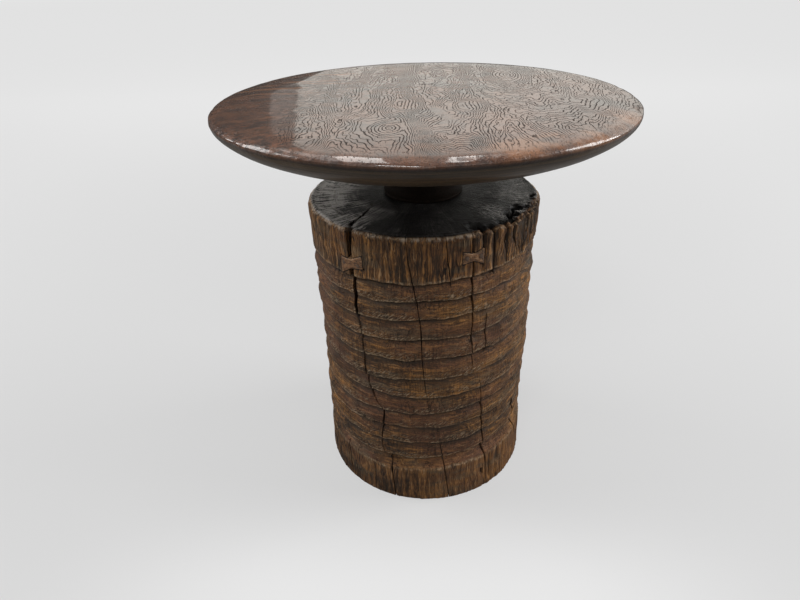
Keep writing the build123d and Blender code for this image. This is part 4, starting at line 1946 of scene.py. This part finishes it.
        collars = ((edge == 0) | (edge == last + 2)) & (out[:, :1] > 0.9)
        sound = 1 - sink
        # these marks carry painted highlight on lips and rim, and painted shade in grooves, splits, pits
        # and creases; the lips are also pale wear
        marks = {
            "lip": column_of(rows, "lip") * sound,
            "groove": column_of(rows, "groove") * sound,
            "end": column_of(rows, "end") * sound * (1 - bared),
            "rim": corner**5 * sound * (1 - bared),
            "split_shade": np.clip(sink * 2.4 + dark * 0.9, 0.0, 1.0),
            "crease_shade": ease(push - worn, -1.2, -3.0) * collars * sound,
            "band": ((edge >= 1) & (edge <= last + 1)) * np.ones_like(azimuth),
            "fray": banded * ease(share, 0.42, 0.80) * np.ones_like(azimuth),
        }
        log.info("log skin: %d rows by %d columns", *azimuth.shape)
        return Skin("drum_log_skin", radius, azimuth, height, (self.bore_floor, 0.0), marks)

    def build(self) -> None:
        """Builds the log and dresses it."""
        seat(self.skin().mesh(self.smooth_to), "drum_log", self.finish.paint())


# ---- Butterfly keys and their pegs ----


@dataclass
class ButterflyKey:
    """A bow-tie key let into the log across a split, with a peg in each wing."""

    size: KeySize
    seed: int
    wall: float = 166.0  # radius of the collar about it
    proud: float = 0.9
    deep: float = 15.0
    peg: float = 2.8  # radius
    peg_out: float = 0.33  # a peg's place along a wing, as a share of the key's length
    peg_long: float = 21.0
    peg_proud: float = 0.7
    peg_sides: int = 28
    cells: int = 44
    belly: float = 1.15  # power by which a wing widens from the waist
    worn_down: float = 1.3  # how far its edges are worn down
    smooth_to: float = 55.0
    peg_smooth_to: float = 50.0
    finish: KeyWood = field(default_factory=KeyWood)
    peg_finish: PegWood = field(default_factory=PegWood)

    def place(self, across: Array, up: Array, radius: Array) -> Array:
        """Lays a point of the flat key on the log's wall.

        Args:
            across: Distance from the key's middle along it.
            up: Distance from its middle across it.
            radius: Distance from the log's axis.

        Returns:
            Points in millimetres.
        """
        azimuth = radians(self.size.azimuth) + across / self.wall
        return np.stack([radius * np.sin(azimuth), -radius * np.cos(azimuth), self.size.height + up], -1)

    def body(self) -> Any:
        """The key itself: a crowned, worn face with sides that go into the log.

        Returns:
            The object.
        """
        rng = np.random.default_rng(self.seed)
        size, n, m = self.size, self.cells, self.cells // 2
        u, v = np.meshgrid(np.linspace(-1, 1, n + 1), np.linspace(-1, 1, m + 1), indexing="ij")
        wing = np.where(u < 0, *size.wings)
        half = size.waist / 2 + (wing - size.waist) / 2 * np.abs(u) ** self.belly
        nick = Lattice(rng, 40, 8, (-1.0, 1.0))
        rim = 1 - 0.05 * (0.5 + 0.5 * nick.at(u * 90 + v * 40, v)) * (np.abs(v) > 0.9)
        across, up = u * size.length / 2, v * half * rim + u * size.rise / 2
        edge = np.minimum((1 - np.abs(u)) * size.length / 2, (1 - np.abs(v)) * half)
        worn = self.worn_down * np.exp(-edge / 0.7) + 0.25 * nick.at(u * 170, v * 0.9)
        face = self.place(across, up, self.wall + self.proud - worn)
        back = self.place(across, up, self.wall - self.deep + 0 * u)
        count = (n + 1) * (m + 1)
        grid = np.arange(count).reshape(n + 1, m + 1)
        quads = np.stack([grid[:-1, :-1], grid[1:, :-1], grid[1:, 1:], grid[:-1, 1:]], -1).reshape(-1, 4)
        faces = [*map(tuple, quads.tolist()), *map(tuple, (quads[:, ::-1] + count).tolist())]
        ring = [*grid[:, 0], *grid[-1, 1:], *grid[-2::-1, -1], *grid[0, -2:0:-1]]
        for a, b in zip(ring, ring[1:] + ring[:1]):
            faces.append((int(a), int(b), int(b) + count, int(a) + count))
        lip = np.concatenate([np.exp(-edge / 0.8).reshape(-1), np.ones(count)])
        points = np.vstack([face.reshape(-1, 3), back.reshape(-1, 3)])
        return new_piece(f"butterfly_key_{size.side}_skin", points, faces, self.smooth_to, {"lip": lip})

    def peg_in(self, name: str, sense: float) -> Any:
        """A peg with a worn, slightly domed head.

        Args:
            name: Its node's name.
            sense: -1 for the wing towards -X, 1 for the other.

        Returns:
            The object.
        """
        count = self.peg_sides
        turn = np.linspace(0, 2 * pi, count, endpoint=False)
        head = self.wall + self.proud + self.peg_proud
        foot = head - self.peg_long
        rings = (
            (0.35, head), (0.7, head - 0.08), (0.9, head - 0.3), (1.0, head - 0.8),
            (1.0, foot + 1.0), (0.85, foot),
        )
        points, faces = [], []
        for share, radius in rings:
            across = sense * self.peg_out * self.size.length + share * self.peg * np.cos(turn)
            points.append(self.place(across, share * self.peg * np.sin(turn), radius + 0 * turn))
        for first in range(0, (len(rings) - 1) * count, count):
            for i in range(count):
                j = (i + 1) % count
                faces.append((first + i, first + j, first + count + j, first + count + i))
        faces.append(tuple(range(count)))
        faces.append(tuple(range((len(rings) - 1) * count, len(rings) * count)))
        return new_piece(f"{name}_skin", np.vstack(points), faces, self.peg_smooth_to, {})

    def build(self) -> None:
        """Builds the key and its pegs and dresses them."""
        side = self.size.side
        seat(self.body(), f"butterfly_key_{side}", self.finish.paint())
        for name, sense in ((f"key_peg_{side}_a", -1.0), (f"key_peg_{side}_b", 1.0)):
            seat(self.peg_in(name, sense), name, self.peg_finish.paint())


# ---- Studio ----


@dataclass
class SoftLight:
    """A soft box: where it stands, where it points, its size and its power."""

    name: str
    place: Place
    aim: Place
    size: Pair
    watts: float

    def build(self) -> None:
        """Hangs the light."""
        data = bpy.data.lights.new(self.name, "AREA")
        data.shape = "RECTANGLE"
        data.size, data.size_y = self.size
        data.energy = self.watts
        lamp = linked(self.name, data)
        lamp.location = self.place
        towards = Vector(self.aim) - Vector(self.place)
        lamp.rotation_euler = towards.to_track_quat("-Z", "Y").to_euler()


class Mirrored:
    """A flat sheet that only the lacquer mirrors."""

    name: str
    tone: float
    tint: Colour

    def corners(self) -> list[Place]:
        """The sheet's corners in order."""
        raise NotImplementedError

    def build(self) -> None:
        """Hangs the sheet."""
        mesh = bpy.data.meshes.new(self.name)
        mesh.from_pydata(self.corners(), [], [(0, 1, 2, 3)])
        sheet = linked(self.name, mesh)
        shader = new_shader(f"{self.name}_sheet")
        mesh.materials.append(shader.end(shader.light(self.tint, self.tone)))
        sheet.visible_camera = sheet.visible_diffuse = sheet.visible_shadow = False


@dataclass
class Flag(Mirrored):
    """A cloth that stands behind the table and darkens what the lacquer mirrors."""

    name: str
    start: Pair  # its edges on the ground
    stop: Pair
    tone: float
    low: float
    high: float
    lean: float  # how far its edges lean to -X for each metre up
    tint: Colour = (1.0, 0.95, 0.9)

    def corners(self) -> list[Place]:
        """The cloth's corners.

        Returns:
            The lower two, then the upper two.
        """
        (x0, y0), (x1, y1) = self.start, self.stop
        low, high, out = self.low, self.high, self.lean * (self.high - self.low)
        return [(x0, y0, low), (x1, y1, low), (x1 - out, y1, high), (x0 - out, y0, high)]


@dataclass
class Card(Mirrored):
    """A bright card overhead, which lights up the lacquer's rim."""

    name: str
    start: Pair  # its corners seen from above
    stop: Pair
    tone: float
    height: float = 3.6
    tint: Colour = (1.0, 0.98, 0.95)

    def corners(self) -> list[Place]:
        """The card's corners, round from the first."""
        (x0, y0), (x1, y1) = self.start, self.stop
        return [(x, y, self.height) for x, y in ((x0, y0), (x1, y0), (x1, y1), (x0, y1))]


@dataclass
class Studio:
    """The pale floor, the soft light, the sheets that the lacquer mirrors and the camera."""

    eye: Place = (0.0, -0.8048, 0.7625)
    pitch: float = 0.5427  # below the horizon, in radians
    yaw: float = -0.0479  # towards -X
    roll: float = -0.0311
    lens: float = 26.08
    far_pale: float = 0.905  # floor as seen, far behind
    # near_pale is a painted shadow about the table; front_pale a painted pool of light in front of it
    near_pale: float = 0.640  # about the table
    front_pale: float = 0.780  # in front of it
    lit: float = 0.80  # floor as it takes the table's shadow
    quiet: float = 0.30  # floor as it lights the table
    fill: float = 0.42  # surround as it lights
    bright: float = 1.00  # surround as the lacquer mirrors it, low down
    dim: float = 0.30  # and high up
    warmth: Colour = (1.0, 0.974, 0.902)
    dims: Pair = (0.88, 0.52)  # rise over which it dims, 1 being straight up
    glow_low: Pair = (0.10, 0.22)  # rise over which it brightens first
    glow_high: Pair = (0.21, 0.31)  # and again
    floor_radius: float = 60.0
    floor_sunk: float = 0.000005
    behind: Pair = (0.4, 3.1)  # distances behind the table over which the floor pales
    far_round: Pair = (2.0, 12.0)  # and round about it
    flattens: Pair = (12.0, 40.0)  # distances over which its own shading fades
    front: Region = Region(y=(-0.16, -0.34), width=(0.60, 0.15))
    lights: tuple[SoftLight, ...] = (
        SoftLight("left_soft_box", (-2.5, 0.3, 1.9), (0.0, 0.0, 0.4), (1.6, 1.6), 46.0),
        SoftLight("right_soft_box", (2.5, 0.2, 1.7), (0.0, 0.0, 0.4), (1.4, 1.4), 58.0),
        SoftLight("front_soft_box", (-0.6, -2.2, 3.0), (0.0, 0.0, 0.3), (1.1, 0.5), 26.0),
    )
    sheets: tuple[Mirrored, ...] = (
        Flag("grey_flag", (-0.730, 2.72), (-0.880, 2.66), 0.34, 1.10, 1.70, 0.28),
        Flag("dark_flag", (-0.480, 2.80), (-4.6, 1.2), 0.045, 0.20, 3.20, 0.28),
        Card("far_left_card", (-2.1, -0.3), (-1.25, 2.3), 2.4),
        Card("left_card", (-1.20, -0.3), (-0.50, 2.3), 7.0),
        Card("right_card", (0.33, -0.1), (0.70, 2.3), 9.0),
        Card("far_right_card", (0.74, -0.1), (1.2, 2.3), 2.2),
    )

    def camera(self) -> None:
        """Places the camera."""
        data = bpy.data.cameras.new("camera")
        data.lens = self.lens
        data.sensor_width = 36.0
        data.sensor_fit = "HORIZONTAL"
        data.clip_start = 0.01
        level = Vector((sin(self.yaw), cos(self.yaw), 0.0))
        forward = level * cos(self.pitch) - Vector((0.0, 0.0, sin(self.pitch)))
        right = Vector((cos(self.yaw), -sin(self.yaw), 0.0))
        up = right.cross(forward)
        turned = right * cos(self.roll) + up * sin(self.roll)
        raised = up * cos(self.roll) - right * sin(self.roll)
        axes = Matrix((turned, raised, -forward)).transposed().to_4x4()
        camera = linked("camera", data)
        camera.matrix_world = Matrix.Translation(self.eye) @ axes
        bpy.context.scene.camera = camera

    def surround(self) -> None:
        """Sets the world: pale as seen, bright low down as mirrored, softer as it lights."""
        world = bpy.data.worlds.new("surround")
        bpy.context.scene.world = world
        shader = Shader(world)
        _, _, rise = shader.axes(shader.node("ShaderNodeTexCoord", {}, {}, "Generated"))
        level = rise.step(*self.dims) * (self.bright - self.dim) + self.dim
        level = level * (rise.step(*self.glow_low) * 0.18 + 0.82 + rise.step(*self.glow_high) * 0.16)
        lighting, glossy, shown = (
            shader.node("ShaderNodeBackground", {}, {0: (*colour, 1.0), 1: strength})
            for colour, strength in ((WHITE, self.fill), (self.warmth, level), (WHITE, self.far_pale))
        )
        mixed = shader.blend(shader.ray(Seen.GLOSSY), lighting, glossy)
        shader.end(shader.blend(shader.ray(Seen.CAMERA), mixed, shown), "ShaderNodeOutputWorld")

    def floor(self) -> None:
        """Lays the pale floor, which keeps a faint shadow, with a painted shadow about the table and a
        painted pool of light in front of it.
        """
        mesh = bpy.data.meshes.new("floor")
        turn = np.linspace(0, 2 * pi, 96, endpoint=False)
        rim = np.stack([np.cos(turn), np.sin(turn), 0 * turn - self.floor_sunk], -1) * self.floor_radius
        mesh.from_pydata(rim.tolist(), [], [tuple(range(len(turn)))])
        shader = new_shader("pale_floor")
        x, y, _ = shader.axes(shader.point())
        radius = shader.far(x, y)
        away = shader.larger(y.step(*self.behind), radius.step(*self.far_round))
        front = shader.within(shader.point(), self.front)
        # painted shadow about the table and a painted pool of light in front of it
        level = self.near_pale + away * (self.far_pale - self.near_pale)
        level = level + front * (self.front_pale - self.near_pale)
        shadowed, quiet = (
            shader.node("ShaderNodeBsdfDiffuse", {}, {"Color": (pale, pale, pale, 1.0)})
            for pale in (self.lit, self.quiet)
        )
        flat = radius.step(*self.flattens) * 0.26 + 0.74
        shown = shader.blend(flat, shadowed, shader.light(WHITE, level))
        mesh.materials.append(shader.end(shader.blend(shader.ray(Seen.CAMERA), quiet, shown)))
        linked("floor", mesh)

    def build(self) -> None:
        """Sets the studio up."""
        bpy.context.scene.view_settings.view_transform = "Standard"
        self.camera()
        self.surround()
        self.floor()
        for item in (*self.sheets, *self.lights):
            item.build()


def main() -> None:
    """Builds the studio and each piece in order."""
    logging.basicConfig(level=logging.INFO, format="%(message)s")
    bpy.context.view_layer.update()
    Studio().build()
    TableTop().build()
    Neck().build()
    CentreDowel().build()
    DrumLog().build()
    for seed, size in enumerate(KEYS, start=11):
        ButterflyKey(size, seed).build()


if __name__ == "__main__":
    main()
